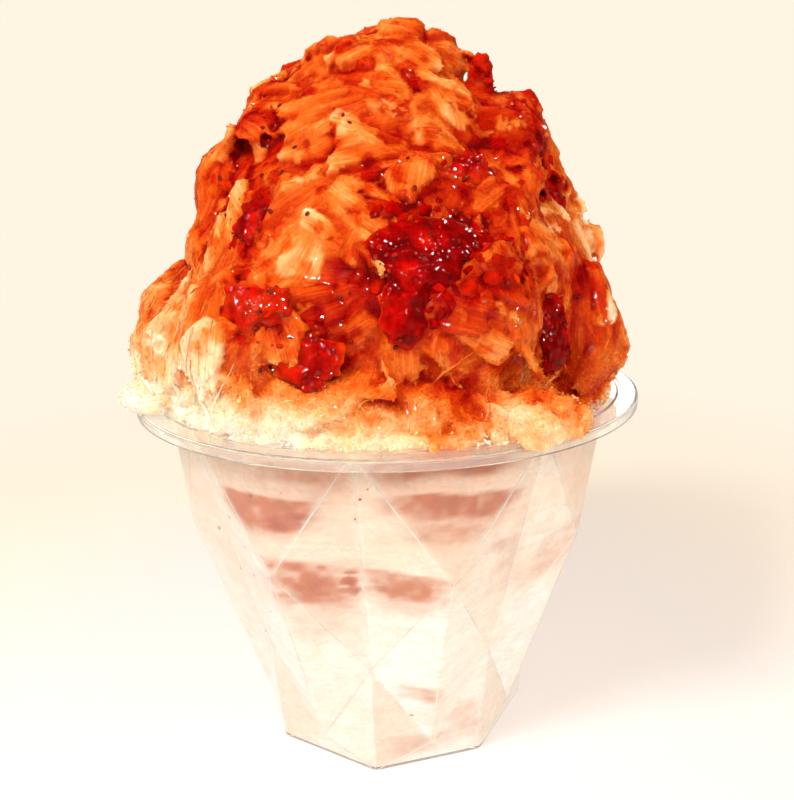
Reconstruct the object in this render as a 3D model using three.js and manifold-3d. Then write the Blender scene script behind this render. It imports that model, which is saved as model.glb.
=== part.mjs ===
// Kakigori: shaved ice soaked with strawberry syrup, heaped in a clear diamond-cut plastic cup.
// Millimetres, +Z up. The origin is the centre of the cup's flat base and the front faces -Y.

import * as THREE from 'three';
import { mergeVertices } from 'three/addons/utils/BufferGeometryUtils.js';
import Module from 'manifold-3d';

const wasm = await Module();
wasm.setup();

// ---------------------------------------------------------------- driving dimensions

// The cup wall: five rings of eight corners. Every other ring is turned by half a side, and
// flat facets join them, so the wall is cut into kites and triangles like a gem.
const SIDES = 8;
const FACET_TURN = -7.8; // degrees from the front to the first corner of an even ring
const CUP_RINGS = [
  { radius: 29.0, height: 0 }, // foot
  { radius: 28.5, height: 5.3 }, // heel
  { radius: 31.5, height: 24.6 }, // waist
  { radius: 42.0, height: 47.3 }, // girdle
  { radius: 44.5, height: 72.2 }, // shoulder, a full circle under the lip
];
const ARC_STEPS = 5; // steps of the round shoulder over each side
const WALL = 0.7;
const FLOOR = 0.9;

const RIM_HEIGHT = 73.6; // top face of the lip
const LIP_RADIUS = 50.5;
const LIP_THICKNESS = 0.7;
const LIP_SKIRT = 1.9; // depth of the lip's turned-down edge
const LIP_BEVEL = 0.4;

const GAP = 0.3; // clearance between touching pieces

// The fill: ice and syrup bands that run right through the cup, by their top height.
const FILL_LAYERS = [
  { name: 'ice_bottom', top: 42, color: 0xf3e9e2 },
  { name: 'syrup_band_lower', top: 50.5, color: 0xd9a38c },
  { name: 'ice_middle', top: 56, color: 0xf6ece4 },
  { name: 'syrup_band_upper', top: 63.5, color: 0xdba890 },
];
const LAYER_WAVE = 1.6; // rise and fall of a layer's surface
const LAYER_SWELL = [9, 11]; // its soft humps along X and Y
const LAYER_TILT = 23; // its slow tilt across the cup
const LAYER_STEPS = { rings: 3, spokes: 12 };
const HEADROOM = 100; // height of the space above the lip

// The heap: clumps of shaved ice pressed together. at: centre, size: half-widths.
const HEAP_CLUMPS = [
  { name: 'body', at: [0, 1, 90], size: [40, 40, 36] },
  { name: 'crown', at: [-1, 2, 114], size: [26, 25, 23] },
  { name: 'peak', at: [-2, 2, 130], size: [18, 15, 12] },
  { name: 'left skirt', at: [-31, -6, 82], size: [18, 23, 18] },
  { name: 'left flank', at: [-25, -5, 99], size: [12.5, 16, 13] },
  { name: 'left ledge', at: [-26, -2, 112], size: [10.5, 12, 9] },
  { name: 'left brow', at: [-18, -1, 121], size: [10.5, 12, 11] },
  { name: 'right brow', at: [19.5, -1, 119.5], size: [12.5, 13, 10.5] },
  { name: 'right knob', at: [18.5, -3, 132], size: [2.3, 2.5, 4.8] },
  { name: 'right flank', at: [23, -2, 107], size: [11.5, 14, 13.5] },
  { name: 'right back', at: [29, 8, 94], size: [13.5, 16, 16.5] },
  { name: 'right tower', at: [36.5, -13, 84], size: [7.5, 9, 15] },
  { name: 'front bulge', at: [9, -27, 92], size: [17, 15, 16] },
  { name: 'front left', at: [-17, -26, 89], size: [17, 15, 14] },
  { name: 'front apron', at: [-5, -31, 77], size: [26, 13, 9] },
  { name: 'rim clump', at: [24, -38, 75], size: [9, 8, 5.5] },
  { name: 'rim crust', at: [-42, -15, 75.5], size: [8.5, 12, 3.5] },
  { name: 'back left', at: [-17, 26, 92], size: [19, 16, 19] },
  { name: 'back right', at: [16, 27, 89], size: [18, 15, 17] },
  { name: 'back crown', at: [1, 17, 112], size: [17, 14, 14] },
];
const FACET_LENGTH = 7.8; // triangle size on a clump
const LUMP_HEIGHT = 1.5; // relief of the clumps
const LUMP_BROAD = [4.3, 4.7, 4.1]; // length of its broad lumps along X, Y and Z
const LUMP_FINE = [2.3, 2.6]; // and of its fine ones
const SMALL_CLUMP = 9; // clumps thinner than this have less relief
const PLUG_RISE = 0.5; // the ice in the mouth stands this much over the lip

// Flakes: thin curved shavings that stand out of the heap like scales.
const FLAKES = { count: 68, spacing: 9, seed: 20 };
const FLAKE_LENGTH = [8, 14];
const FLAKE_WIDTH = [5.5, 9.5];
const FLAKE_THICKNESS = 1.1;
const FLAKE_TAPER = 0.45; // share of its width a flake loses towards its tip
const FLAKE_CURL = [0.1, 0.25]; // drop of the tip, in shares of the length
const FLAKE_ROOT = 0.42; // share of a flake that is pushed into the heap
const FLAKE_CLEARANCE = 4; // height over the lip where flakes start
const FLAKE_TILT = [8, 24]; // degrees off the heap's surface

// Strawberry jam: glossy pools of crushed fruit, half sunk in the heap. Each is made of lobes.
// at: a point of the heap's skin, half: half-width across and half-height along the slope.
const JAM_POOLS = [
  {
    name: 'jam_front',
    lobes: [
      { at: [7, -38, 103], half: [9.5, 6.5] },
      { at: [3, -41, 95.5], half: [4, 6.5] },
    ],
  },
  { name: 'jam_right', lobes: [{ at: [29, -27, 88], half: [5, 8] }] },
  { name: 'jam_left', lobes: [{ at: [-22, -25, 108], half: [4, 5.5] }] },
  { name: 'jam_lower_left', lobes: [{ at: [-21, -38, 95], half: [8, 4] }] },
  { name: 'jam_lower', lobes: [{ at: [-13, -41, 87], half: [7, 5] }] },
  { name: 'jam_right_upper', lobes: [{ at: [30, -7, 112], half: [4, 6] }] },
  { name: 'jam_upper', lobes: [{ at: [14, -23, 115], half: [5, 3.5] }] },
  { name: 'jam_back', lobes: [{ at: [-14, 37, 102], half: [8, 6] }] },
];
const JAM_RISE = 2.0; // height of a pool above the skin, and its depth below it
const JAM_BOW = 34; // radius the pools bend round
const JAM_FACING_CENTRE = [0, 0, 82];
const JAM_LUMP = 0.45;
const SEEDS_PER_LOBE = 3;
const SEED_SIZE = [0.6, 0.8, 0.55];
const SEED_REACH = [0.25, 0.65]; // from the middle of a lobe to its edge

const COLORS = {
  cup: 0xf4f6f6,
  heap: 0xe8622c,
  jam: 0xb5200f,
};

// ---------------------------------------------------------------- helpers

const radians = THREE.MathUtils.degToRad;
const up = new THREE.Vector3(0, 0, 1);

function randomFrom(seed) {
  let state = seed;
  return () => {
    state = (state + 0x6d2b79f5) | 0;
    let mixed = Math.imul(state ^ (state >>> 15), 1 | state);
    mixed = (mixed + Math.imul(mixed ^ (mixed >>> 7), 61 | mixed)) ^ mixed;
    return ((mixed ^ (mixed >>> 14)) >>> 0) / 4294967296;
  };
}

function between([low, high], share) {
  return low + (high - low) * share;
}

// A closed geometry, as a solid that can be joined and cut.
function solidOf(geometry) {
  geometry.deleteAttribute('normal');
  geometry.deleteAttribute('uv');
  const merged = mergeVertices(geometry, 1e-4);
  const mesh = new wasm.Mesh({
    numProp: 3,
    vertProperties: new Float32Array(merged.attributes.position.array),
    triVerts: new Uint32Array(merged.index.array),
  });
  return new wasm.Manifold(mesh);
}

function geometryOf(solid) {
  const mesh = solid.getMesh();
  const geometry = new THREE.BufferGeometry();
  geometry.setAttribute('position', new THREE.BufferAttribute(mesh.vertProperties, 3));
  geometry.setIndex(new THREE.BufferAttribute(mesh.triVerts, 1));
  return geometry;
}

function geometryFrom(corners, triangles) {
  const geometry = new THREE.BufferGeometry();
  geometry.setAttribute('position', new THREE.Float32BufferAttribute(corners.flat(), 3));
  geometry.setIndex(triangles.flat());
  return geometry;
}

function joined(solids) {
  return solids.reduce((whole, solid) => whole.add(solid));
}

// The largest of the bodies a cut has left.
function largestBody(solid) {
  const bodies = solid.decompose();
  return bodies.reduce((best, body) => (body.volume() > best.volume() ? body : best));
}

function moveVertices(geometry, move) {
  const position = geometry.attributes.position;
  const point = new THREE.Vector3();
  for (let i = 0; i < position.count; i += 1) {
    point.fromBufferAttribute(position, i);
    move(point);
    position.setXYZ(i, point.x, point.y, point.z);
  }
  return geometry;
}

// ---------------------------------------------------------------- cup

// A point at an angle round the axis, counted from the front towards +X.
function aroundAxis(radius, height, degrees) {
  const angle = radians(degrees);
  return [radius * Math.sin(angle), -radius * Math.cos(angle), height];
}

// The diamond-cut form, drawn in by `inset` all round, from `floor` up to `top`.
function diamondForm(inset, floor, top) {
  const corners = [];
  const triangles = [];
  const side = 360 / SIDES;
  const shoulder = CUP_RINGS.length - 1;
  const steps = SIDES * ARC_STEPS;

  CUP_RINGS.forEach(({ radius, height }, ring) => {
    for (let k = 0; k < SIDES; k += 1) {
      const turn = FACET_TURN + side * (k + (ring % 2) / 2);
      corners.push(aroundAxis(radius - inset, Math.max(height, floor), turn));
    }
  });
  const corner = (ring, k) => ring * SIDES + ((k + SIDES) % SIDES);

  for (let ring = 0; ring + 2 < CUP_RINGS.length; ring += 1) {
    for (let k = 0; k < SIDES; k += 1) {
      const left = corner(ring + 1, k - 1 + (ring % 2));
      const right = corner(ring + 1, k + (ring % 2));
      const lower = corner(ring, k);
      const upper = corner(ring + 2, k);
      triangles.push([lower, upper, left], [lower, right, upper]);
    }
  }

  const addRound = (height) => {
    const first = corners.length;
    for (let step = 0; step < steps; step += 1) {
      const turn = FACET_TURN + (360 * step) / steps;
      corners.push(aroundAxis(CUP_RINGS[shoulder].radius - inset, height, turn));
    }
    return (step) => first + ((step + steps) % steps);
  };
  const low = addRound(CUP_RINGS[shoulder].height);
  const high = addRound(top);
  const lid = corners.push([0, 0, top]) - 1;
  const foot = corners.push([0, 0, floor]) - 1;

  for (let k = 0; k < SIDES; k += 1) {
    triangles.push([corner(0, k), corner(0, k + 1), corner(1, k)]);
    triangles.push([foot, corner(0, k + 1), corner(0, k)]);
    for (let step = k * ARC_STEPS; step < (k + 1) * ARC_STEPS; step += 1) {
      triangles.push([corner(shoulder - 1, k), low(step + 1), low(step)]);
      triangles.push([low(step), low(step + 1), high(step + 1)]);
      triangles.push([low(step), high(step + 1), high(step)]);
      triangles.push([lid, high(step), high(step + 1)]);
    }
  }
  return solidOf(geometryFrom(corners, triangles));
}

// The flat lip round the mouth, with its edge turned down.
function lipSolid() {
  const inside = CUP_RINGS.at(-1).radius - 2 * WALL;
  const under = RIM_HEIGHT - LIP_THICKNESS;
  const profile = [
    [inside, under],
    [LIP_RADIUS - LIP_THICKNESS, under],
    [LIP_RADIUS - LIP_THICKNESS, RIM_HEIGHT - LIP_SKIRT],
    [LIP_RADIUS, RIM_HEIGHT - LIP_SKIRT],
    [LIP_RADIUS, RIM_HEIGHT - LIP_BEVEL],
    [LIP_RADIUS - LIP_BEVEL, RIM_HEIGHT],
    [inside, RIM_HEIGHT],
    [inside, under],
  ];
  const points = profile.map(([radius, height]) => new THREE.Vector2(radius, height));
  const lip = new THREE.LatheGeometry(points, SIDES * ARC_STEPS);
  lip.rotateX(Math.PI / 2);
  lip.rotateZ(radians(FACET_TURN));
  return solidOf(lip);
}

function cupSolid() {
  const outside = diamondForm(0, 0, RIM_HEIGHT - LIP_BEVEL);
  const inside = diamondForm(WALL, FLOOR, RIM_HEIGHT + WALL);
  return outside.add(lipSolid()).subtract(inside);
}

// ---------------------------------------------------------------- fill

// All the space food may take: the inside of the cup, and everything above the lip.
function foodSpace() {
  const inside = diamondForm(WALL + GAP, FLOOR + GAP, RIM_HEIGHT + 3 * GAP);
  const width = 3 * LIP_RADIUS;
  const above = new THREE.BoxGeometry(width, width, HEADROOM);
  above.translate(0, 0, RIM_HEIGHT + GAP + HEADROOM / 2);
  return inside.add(solidOf(above));
}

function layerHeight(level, x, y) {
  const [broad, deep] = LAYER_SWELL;
  const swell = Math.sin(x / broad + level) * Math.cos(y / deep - level / 3);
  const tilt = Math.sin((x + y) / LAYER_TILT + level / 5);
  return level + LAYER_WAVE * (0.6 * swell + 0.4 * tilt);
}

// A slab wider than the cup between two wavy surfaces.
function wavySlab(bottom, top) {
  const { rings, spokes } = LAYER_STEPS;
  const radius = LIP_RADIUS;
  const corners = [];
  const triangles = [];
  const sheet = (height) => {
    const first = corners.push([0, 0, height(0, 0)]) - 1;
    for (let ring = 1; ring <= rings; ring += 1) {
      for (let spoke = 0; spoke < spokes; spoke += 1) {
        const [x, y] = aroundAxis((radius * ring) / rings, 0, (360 * spoke) / spokes);
        corners.push([x, y, height(x, y)]);
      }
    }
    return (ring, spoke) => (ring === 0 ? first : first + 1 + (ring - 1) * spokes + (spoke % spokes));
  };
  const low = sheet(bottom);
  const high = sheet(top);
  for (let spoke = 0; spoke < spokes; spoke += 1) {
    triangles.push([low(0, 0), low(1, spoke + 1), low(1, spoke)]);
    triangles.push([high(0, 0), high(1, spoke), high(1, spoke + 1)]);
    for (let ring = 1; ring < rings; ring += 1) {
      triangles.push([low(ring, spoke), low(ring, spoke + 1), low(ring + 1, spoke)]);
      triangles.push([low(ring, spoke + 1), low(ring + 1, spoke + 1), low(ring + 1, spoke)]);
      triangles.push([high(ring, spoke), high(ring + 1, spoke), high(ring, spoke + 1)]);
      triangles.push([high(ring, spoke + 1), high(ring + 1, spoke), high(ring + 1, spoke + 1)]);
    }
    triangles.push([low(rings, spoke), low(rings, spoke + 1), high(rings, spoke + 1)]);
    triangles.push([low(rings, spoke), high(rings, spoke + 1), high(rings, spoke)]);
  }
  return solidOf(geometryFrom(corners, triangles));
}

function layerSolid(index) {
  const top = FILL_LAYERS[index].top;
  const under = index > 0 ? FILL_LAYERS[index - 1].top : null;
  const bottomHeight = (x, y) => (under === null ? -FLOOR : layerHeight(under, x, y) + GAP);
  const topHeight = (x, y) => layerHeight(top, x, y);
  return wavySlab(bottomHeight, topHeight);
}

// ---------------------------------------------------------------- heap

// Soft relief of pressed ice, in the range -1 to 1.
function lumpiness({ x, y, z }) {
  const [wide, deep, high] = LUMP_BROAD;
  const broad = Math.sin(x / wide + 1) * Math.sin(y / deep + 2) * Math.sin(z / high);
  const fine = Math.sin((x + z) / LUMP_FINE[0]) * Math.sin((y - z) / LUMP_FINE[1] + 1);
  return 0.65 * broad + 0.35 * fine;
}

// The surface point of a clump in a direction, `grow` beyond its own skin.
function clumpPoint({ at, size }, direction, grow = 0) {
  const point = new THREE.Vector3(...size).multiply(direction).add(new THREE.Vector3(...at));
  const relief = LUMP_HEIGHT * Math.min(1, Math.min(...size) / SMALL_CLUMP) * lumpiness(point);
  return point.addScaledVector(direction, relief + grow);
}

function clumpSolid(clump, grow = 0) {
  const girth = Math.max(...clump.size);
  const detail = Math.max(2, Math.round(girth / FACET_LENGTH));
  const geometry = new THREE.IcosahedronGeometry(1, detail);
  moveVertices(geometry, (point) => {
    point.copy(clumpPoint(clump, point.clone().normalize(), grow));
  });
  return solidOf(geometry);
}

function heapCore(grow = 0) {
  return joined(HEAP_CLUMPS.map((clump) => clumpSolid(clump, grow)));
}

function isInside(point, { at, size }, margin) {
  const offset = point.clone().sub(new THREE.Vector3(...at)).divide(new THREE.Vector3(...size));
  return offset.length() < 1 - margin / Math.min(...size);
}

function nearJam(point) {
  return JAM_POOLS.some(({ lobes }) =>
    lobes.some(({ at, half }) => point.distanceTo(new THREE.Vector3(...at)) < Math.max(...half) + 1));
}

function randomDirection(random) {
  const z = 2 * random() - 1;
  const turn = 2 * Math.PI * random();
  const flat = Math.sqrt(1 - z * z);
  return new THREE.Vector3(flat * Math.cos(turn), flat * Math.sin(turn), z);
}

// Evenly spread spots on the skin of the heap, each with its outward direction.
function heapSpots(count, spacing, random) {
  const spots = [];
  const areas = HEAP_CLUMPS.map(({ size }) => size[0] * size[1] + size[1] * size[2]);
  const total = areas.reduce((sum, area) => sum + area);
  const mostTries = count * 80;
  for (let tries = 0; tries < mostTries && spots.length < count; tries += 1) {
    let pick = random() * total;
    const index = areas.findIndex((area) => (pick -= area) < 0);
    const clump = HEAP_CLUMPS[index];
    const direction = randomDirection(random);
    const point = clumpPoint(clump, direction);
    const buried = HEAP_CLUMPS.some((other) => other !== clump && isInside(point, other, GAP));
    const low = point.z < RIM_HEIGHT + FLAKE_CLEARANCE;
    const close = spots.some((spot) => spot.point.distanceTo(point) < spacing);
    if (!buried && !low && !close && !nearJam(point)) {
      const normal = direction.clone().divide(new THREE.Vector3(...clump.size)).normalize();
      spots.push({ point, normal });
    }
  }
  return spots;
}

// One shaving: a thin plate, narrower at its tip and curled along its length.
function flakeGeometry(length, width, curl) {
  const flake = new THREE.BoxGeometry(width, length, FLAKE_THICKNESS, 1, 2, 1);
  flake.translate(0, length / 2, 0);
  return moveVertices(flake, (point) => {
    const along = point.y / length;
    point.x *= 1 - FLAKE_TAPER * along * along;
    point.z -= curl * along * along;
  });
}

function flakeSolid({ point, normal }, random) {
  const length = between(FLAKE_LENGTH, random());
  const width = between(FLAKE_WIDTH, random());
  const flake = flakeGeometry(length, width, length * between(FLAKE_CURL, random()));
  const side = new THREE.Vector3().crossVectors(up, normal).normalize();
  side.applyAxisAngle(normal, 2 * Math.PI * random());
  const along = new THREE.Vector3().crossVectors(normal, side);
  const frame = new THREE.Matrix4().makeBasis(side, along, normal);
  flake.translate(0, -length * FLAKE_ROOT, 0);
  flake.rotateX(radians(between(FLAKE_TILT, random())));
  flake.applyMatrix4(frame);
  flake.translate(point.x, point.y, point.z);
  return solidOf(flake);
}

function flakeSolids() {
  const random = randomFrom(FLAKES.seed);
  const spots = heapSpots(FLAKES.count, FLAKES.spacing, random);
  return spots.map((spot) => flakeSolid(spot, random));
}

// Clumps and flakes on a plug of ice that fills the cup's mouth level with the rim.
function heapSolid() {
  const plugTop = (x, y) => layerHeight(RIM_HEIGHT + PLUG_RISE, x, y);
  const plugFloor = (x, y) => layerHeight(FILL_LAYERS.at(-1).top, x, y) + GAP;
  const throat = diamondForm(WALL + GAP, FLOOR + GAP, RIM_HEIGHT + 3 * LAYER_WAVE);
  const plug = wavySlab(plugFloor, plugTop).intersect(throat);
  const underside = wavySlab(() => -FLOOR, plugFloor);
  const heap = joined([heapCore(), ...flakeSolids()]).subtract(underside).add(plug);
  const pockets = joined(JAM_POOLS.map((pool, index) => jamSolid(pool, index, GAP)));
  return largestBody(heap.intersect(foodSpace()).subtract(pockets));
}

// ---------------------------------------------------------------- jam

// Axes of a pool at a point of the heap: across, along the slope, and outwards.
function slopeFrame(at) {
  const normal = new THREE.Vector3(...at).sub(new THREE.Vector3(...JAM_FACING_CENTRE)).normalize();
  const side = new THREE.Vector3().crossVectors(up, normal).normalize();
  const along = new THREE.Vector3().crossVectors(normal, side);
  return new THREE.Matrix4().makeBasis(side, along, normal).setPosition(...at);
}

// A lobe's skin in its own frame: a flat lumpy lens that bends round the heap.
function bendLobe(point, half, grow) {
  const direction = point.clone().normalize();
  point.multiply(new THREE.Vector3(half[0], half[1], JAM_RISE));
  point.addScaledVector(direction, grow + JAM_LUMP * lumpiness(point.clone().multiplyScalar(3)));
  point.z -= (point.x * point.x + point.y * point.y) / (2 * JAM_BOW);
}

function lobeSolid({ at, half }, grow = 0) {
  const lobe = new THREE.SphereGeometry(1, 12, 6);
  lobe.rotateX(Math.PI / 2);
  moveVertices(lobe, (point) => bendLobe(point, half, grow));
  lobe.applyMatrix4(slopeFrame(at));
  return solidOf(lobe);
}

// Seeds stand half out of a lobe. An octahedron's faces move out by less than its corners do.
function seedSolids({ at, half }, random, grow) {
  const seeds = [];
  const size = SEED_SIZE.map((reach) => reach + Math.sqrt(3) * grow);
  for (let i = 0; i < SEEDS_PER_LOBE; i += 1) {
    const turn = 2 * Math.PI * random();
    const reach = between(SEED_REACH, random());
    const spot = new THREE.Vector3(reach * Math.cos(turn), reach * Math.sin(turn), 0);
    spot.z = Math.sqrt(1 - reach * reach);
    bendLobe(spot, half, 0);
    const seed = new THREE.OctahedronGeometry(1);
    seed.scale(...size);
    seed.rotateZ(turn);
    seed.translate(spot.x, spot.y, spot.z);
    seed.applyMatrix4(slopeFrame(at));
    seeds.push(solidOf(seed));
  }
  return seeds;
}

function jamSolid({ lobes }, index, grow = 0) {
  const random = randomFrom(index + 1);
  const parts = lobes.flatMap((lobe) => [lobeSolid(lobe, grow), ...seedSolids(lobe, random, grow)]);
  return joined(parts);
}

// ---------------------------------------------------------------- assembly

function addPiece(group, name, solid, color, roughness) {
  const material = new THREE.MeshStandardMaterial({ color, roughness, metalness: 0 });
  const mesh = new THREE.Mesh(geometryOf(solid), material);
  mesh.name = name;
  group.add(mesh);
}

const kakigori = new THREE.Group();
addPiece(kakigori, 'cup', cupSolid(), COLORS.cup, 0.08);
const cupInside = diamondForm(WALL + GAP, FLOOR + GAP, RIM_HEIGHT);
FILL_LAYERS.forEach(({ name, color }, index) => {
  addPiece(kakigori, name, layerSolid(index).intersect(cupInside), color, 0.45);
});
addPiece(kakigori, 'ice_heap', heapSolid(), COLORS.heap, 0.3);
JAM_POOLS.forEach((pool, index) => {
  addPiece(kakigori, pool.name, jamSolid(pool, index), COLORS.jam, 0.1);
});

export default kakigori;
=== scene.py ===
"""Kakigori in a clear diamond-cut cup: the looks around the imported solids. Metres, +Z up."""
import math
from itertools import product

import bmesh
import bpy
import numpy as np
from mathutils import Matrix, Vector
from mathutils.bvhtree import BVHTree


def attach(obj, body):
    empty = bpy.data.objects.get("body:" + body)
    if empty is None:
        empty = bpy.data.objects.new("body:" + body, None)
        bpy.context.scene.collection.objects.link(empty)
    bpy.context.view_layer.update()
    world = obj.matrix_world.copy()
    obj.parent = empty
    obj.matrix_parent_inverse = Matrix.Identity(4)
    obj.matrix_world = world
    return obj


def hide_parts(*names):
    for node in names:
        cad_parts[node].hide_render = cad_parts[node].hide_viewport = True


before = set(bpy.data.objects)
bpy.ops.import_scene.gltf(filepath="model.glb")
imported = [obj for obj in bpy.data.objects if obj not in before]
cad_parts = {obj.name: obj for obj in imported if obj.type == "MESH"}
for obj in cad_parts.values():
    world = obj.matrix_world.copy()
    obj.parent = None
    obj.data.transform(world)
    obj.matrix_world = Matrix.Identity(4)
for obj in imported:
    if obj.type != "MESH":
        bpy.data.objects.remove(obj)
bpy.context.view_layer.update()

MM = 0.001
FULL_TURN = 2 * math.pi

# ------------------------------------------------------------------ camera

# Fitted to the rim, the facet corners and the outline, in a picture 794 wide and 800 high.
CAMERA_DISTANCE = 159.3 * MM
CAMERA_HEIGHT = 112.9 * MM
CAMERA_PITCH = 0.2690
CAMERA_ROLL = -0.0160
CAMERA_YAW = 0.0120
FOCAL_PIXELS = 779.0
PICTURE = (794, 800)
SENSOR = 36.0


def linked(name, data):
    """A new object in the scene."""
    obj = bpy.data.objects.new(name, data)
    bpy.context.scene.collection.objects.link(obj)
    return obj


def camera_axes():
    forward = Vector((math.sin(CAMERA_YAW) * math.cos(CAMERA_PITCH),
                      math.cos(CAMERA_YAW) * math.cos(CAMERA_PITCH),
                      -math.sin(CAMERA_PITCH)))
    level = forward.cross(Vector((0, 0, 1))).normalized()
    upright = level.cross(forward)
    right = math.cos(CAMERA_ROLL) * level + math.sin(CAMERA_ROLL) * upright
    up = -math.sin(CAMERA_ROLL) * level + math.cos(CAMERA_ROLL) * upright
    return right, up, forward


def make_camera():
    data = bpy.data.cameras.new("view_camera")
    data.sensor_width = SENSOR
    data.lens = FOCAL_PIXELS * SENSOR / max(PICTURE)
    data.clip_start = 5 * MM
    right, up, forward = camera_axes()
    basis = Matrix((right, up, -forward)).transposed().to_4x4()
    basis.translation = (0, -CAMERA_DISTANCE, CAMERA_HEIGHT)
    camera = linked("view_camera", data)
    camera.matrix_world = basis
    bpy.context.scene.camera = camera


# ------------------------------------------------------------------ meshes

def read(items, field, width, kind=np.float32):
    """A field of a mesh's items, one row each."""
    values = np.empty(len(items) * width, kind)
    items.foreach_get(field, values)
    return values.reshape(-1, width)


def skin_of(obj):
    """The vertices of an object and their normals."""
    points = read(obj.data.vertices, "co", 3).astype(float)
    return points, read(obj.data.vertex_normals, "vector", 3).astype(float)


def set_points(obj, points):
    obj.data.vertices.foreach_set("co", np.asarray(points, np.float32).ravel())
    obj.data.update()


def shade_smooth(mesh):
    mesh.polygons.foreach_set("use_smooth", [True] * len(mesh.polygons))


def set_tint(obj, colors):
    """Writes one RGB colour for each vertex."""
    layer = obj.data.color_attributes.new(name="tint", type="FLOAT_COLOR", domain="POINT")
    rgba = np.ones((len(colors), 4), np.float32)
    rgba[:, :3] = colors
    layer.data.foreach_set("color", rgba.ravel())


def set_grain(obj, vectors):
    """Writes the place of each vertex in the space of the streaks."""
    layer = obj.data.attributes.new(name="grain", type="FLOAT_VECTOR", domain="POINT")
    layer.data.foreach_set("vector", np.asarray(vectors, np.float32).ravel())


def tree_of(obj):
    mesh = obj.data
    return BVHTree.FromPolygons([v.co[:] for v in mesh.vertices], [p.vertices[:] for p in mesh.polygons])


def copy_of_node(name, node):
    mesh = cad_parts[node].data.copy()
    mesh.name = name
    return linked(name, mesh)


def absorb(obj, *others):
    """Moves the meshes of other objects into this one's."""
    bm = bmesh.new()
    bm.from_mesh(obj.data)
    for other in others:
        bm.from_mesh(other.data)
        bpy.data.objects.remove(other)
    bm.to_mesh(obj.data)
    bm.free()


def apply_modifiers(obj):
    depsgraph = bpy.context.evaluated_depsgraph_get()
    obj.data = bpy.data.meshes.new_from_object(obj.evaluated_get(depsgraph))
    obj.modifiers.clear()
    obj.data.materials.clear()
    shade_smooth(obj.data)


def remeshed(obj, voxel, smoothing):
    """The object with an even skin of small faces."""
    remesh = obj.modifiers.new("even", "REMESH")
    remesh.mode = "VOXEL"
    remesh.voxel_size = voxel
    remesh.use_smooth_shade = True
    smooth = obj.modifiers.new("soften", "SMOOTH")
    smooth.factor = 0.5
    smooth.iterations = smoothing
    apply_modifiers(obj)
    return obj


def join_copies(name, points, faces, smooth=True):
    """One mesh from many copies of a face pattern."""
    count = points.shape[0]
    each = int(np.prod(points.shape[1:-1]))
    corners = faces.shape[1]
    all_faces = (faces[None] + (np.arange(count) * each)[:, None, None]).reshape(-1, corners)
    mesh = bpy.data.meshes.new(name)
    mesh.vertices.add(count * each)
    mesh.vertices.foreach_set("co", points.astype(np.float32).ravel())
    mesh.loops.add(all_faces.size)
    mesh.loops.foreach_set("vertex_index", all_faces.astype(np.int32).ravel())
    mesh.polygons.add(len(all_faces))
    mesh.polygons.foreach_set("loop_start", np.arange(0, all_faces.size, corners, dtype=np.int32))
    mesh.polygons.foreach_set("use_smooth", [smooth] * len(all_faces))
    mesh.update(calc_edges=True)
    mesh.validate()
    return linked(name, mesh)


def add_piece(obj, material, slot, *nodes):
    obj.data.materials.clear()
    obj.data.materials.append(material)
    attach(obj, "root")
    if nodes:
        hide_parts(*nodes)
    return obj


# ------------------------------------------------------------------ noise

HASH_PRIMES = (73856093, 19349663, 83492791)
HASH_SEED = 2654435761
HASH_STIR = 1274126177
HASH_MASK = 0xFFFFFF


def hash_grid(cells, seed):
    """A number from 0 to 1 for each whole-numbered cell."""
    mixed = seed * HASH_SEED
    for column, prime in zip(cells.astype(np.int64).T, HASH_PRIMES):
        mixed = mixed ^ (column * prime)
    mixed = (mixed ^ (mixed >> 13)) * HASH_STIR
    mixed = (mixed ^ (mixed >> 16)) & HASH_MASK
    return mixed / float(HASH_MASK)


def value_noise(points, size, seed=0):
    """Smooth noise from -1 to 1 with bumps of a given size."""
    scaled = np.asarray(points) / size
    low = np.floor(scaled)
    part = scaled - low
    part = part * part * (3 - 2 * part)
    total = np.zeros(len(scaled))
    for z, y, x in product((0, 1), repeat=3):
        step = np.array([x, y, z])
        weight = np.prod(np.where(step == 1, part, 1 - part), axis=1)
        total += weight * hash_grid(low + step, seed)
    return total * 2 - 1


def cell_noise(points, size, seed=0):
    """Distance to the nearest and second nearest scattered point, and the nearest one's number."""
    scaled = np.asarray(points) / size
    base = np.floor(scaled)
    nearest = np.full(len(scaled), 9.0)
    second = nearest
    number = np.zeros(len(scaled))
    for step in product((-1, 0, 1), repeat=3):
        cell = base + np.array(step)
        spot = cell + np.stack([hash_grid(cell, seed + k) for k in (1, 2, 3)], axis=1)
        gap = np.linalg.norm(scaled - spot, axis=1)
        closer = gap < nearest
        second = np.where(closer, nearest, np.minimum(second, gap))
        number = np.where(closer, hash_grid(cell, seed + 9), number)
        nearest = np.where(closer, gap, nearest)
    return nearest, second, number


def smoothstep(low, high, x):
    t = np.clip((x - low) / (high - low), 0, 1)
    return t * t * (3 - 2 * t)


def gap_to(p, place):
    """Distance from each point to a place, both in mm."""
    return np.linalg.norm(p - np.array(place), axis=1)


def linear(*srgb):
    """A 0-255 display colour as linear RGB."""
    c = np.array(srgb) / 255.0
    return np.where(c <= 0.04045, c / 12.92, ((c + 0.055) / 1.055) ** 2.4)


# ------------------------------------------------------------------ syrup

# The tint runs from clean ice (0) to thick jam (1).
TINT_RAMP = [
    (0.00, (255, 250, 241)),
    (0.12, (253, 230, 199)),
    (0.25, (249, 184, 128)),
    (0.38, (238, 134, 55)),
    (0.52, (224, 93, 15)),
    (0.66, (202, 57, 7)),
    (0.78, (182, 27, 4)),
    (0.90, (164, 4, 2)),
    (1.00, (118, 2, 2)),
]

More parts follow.
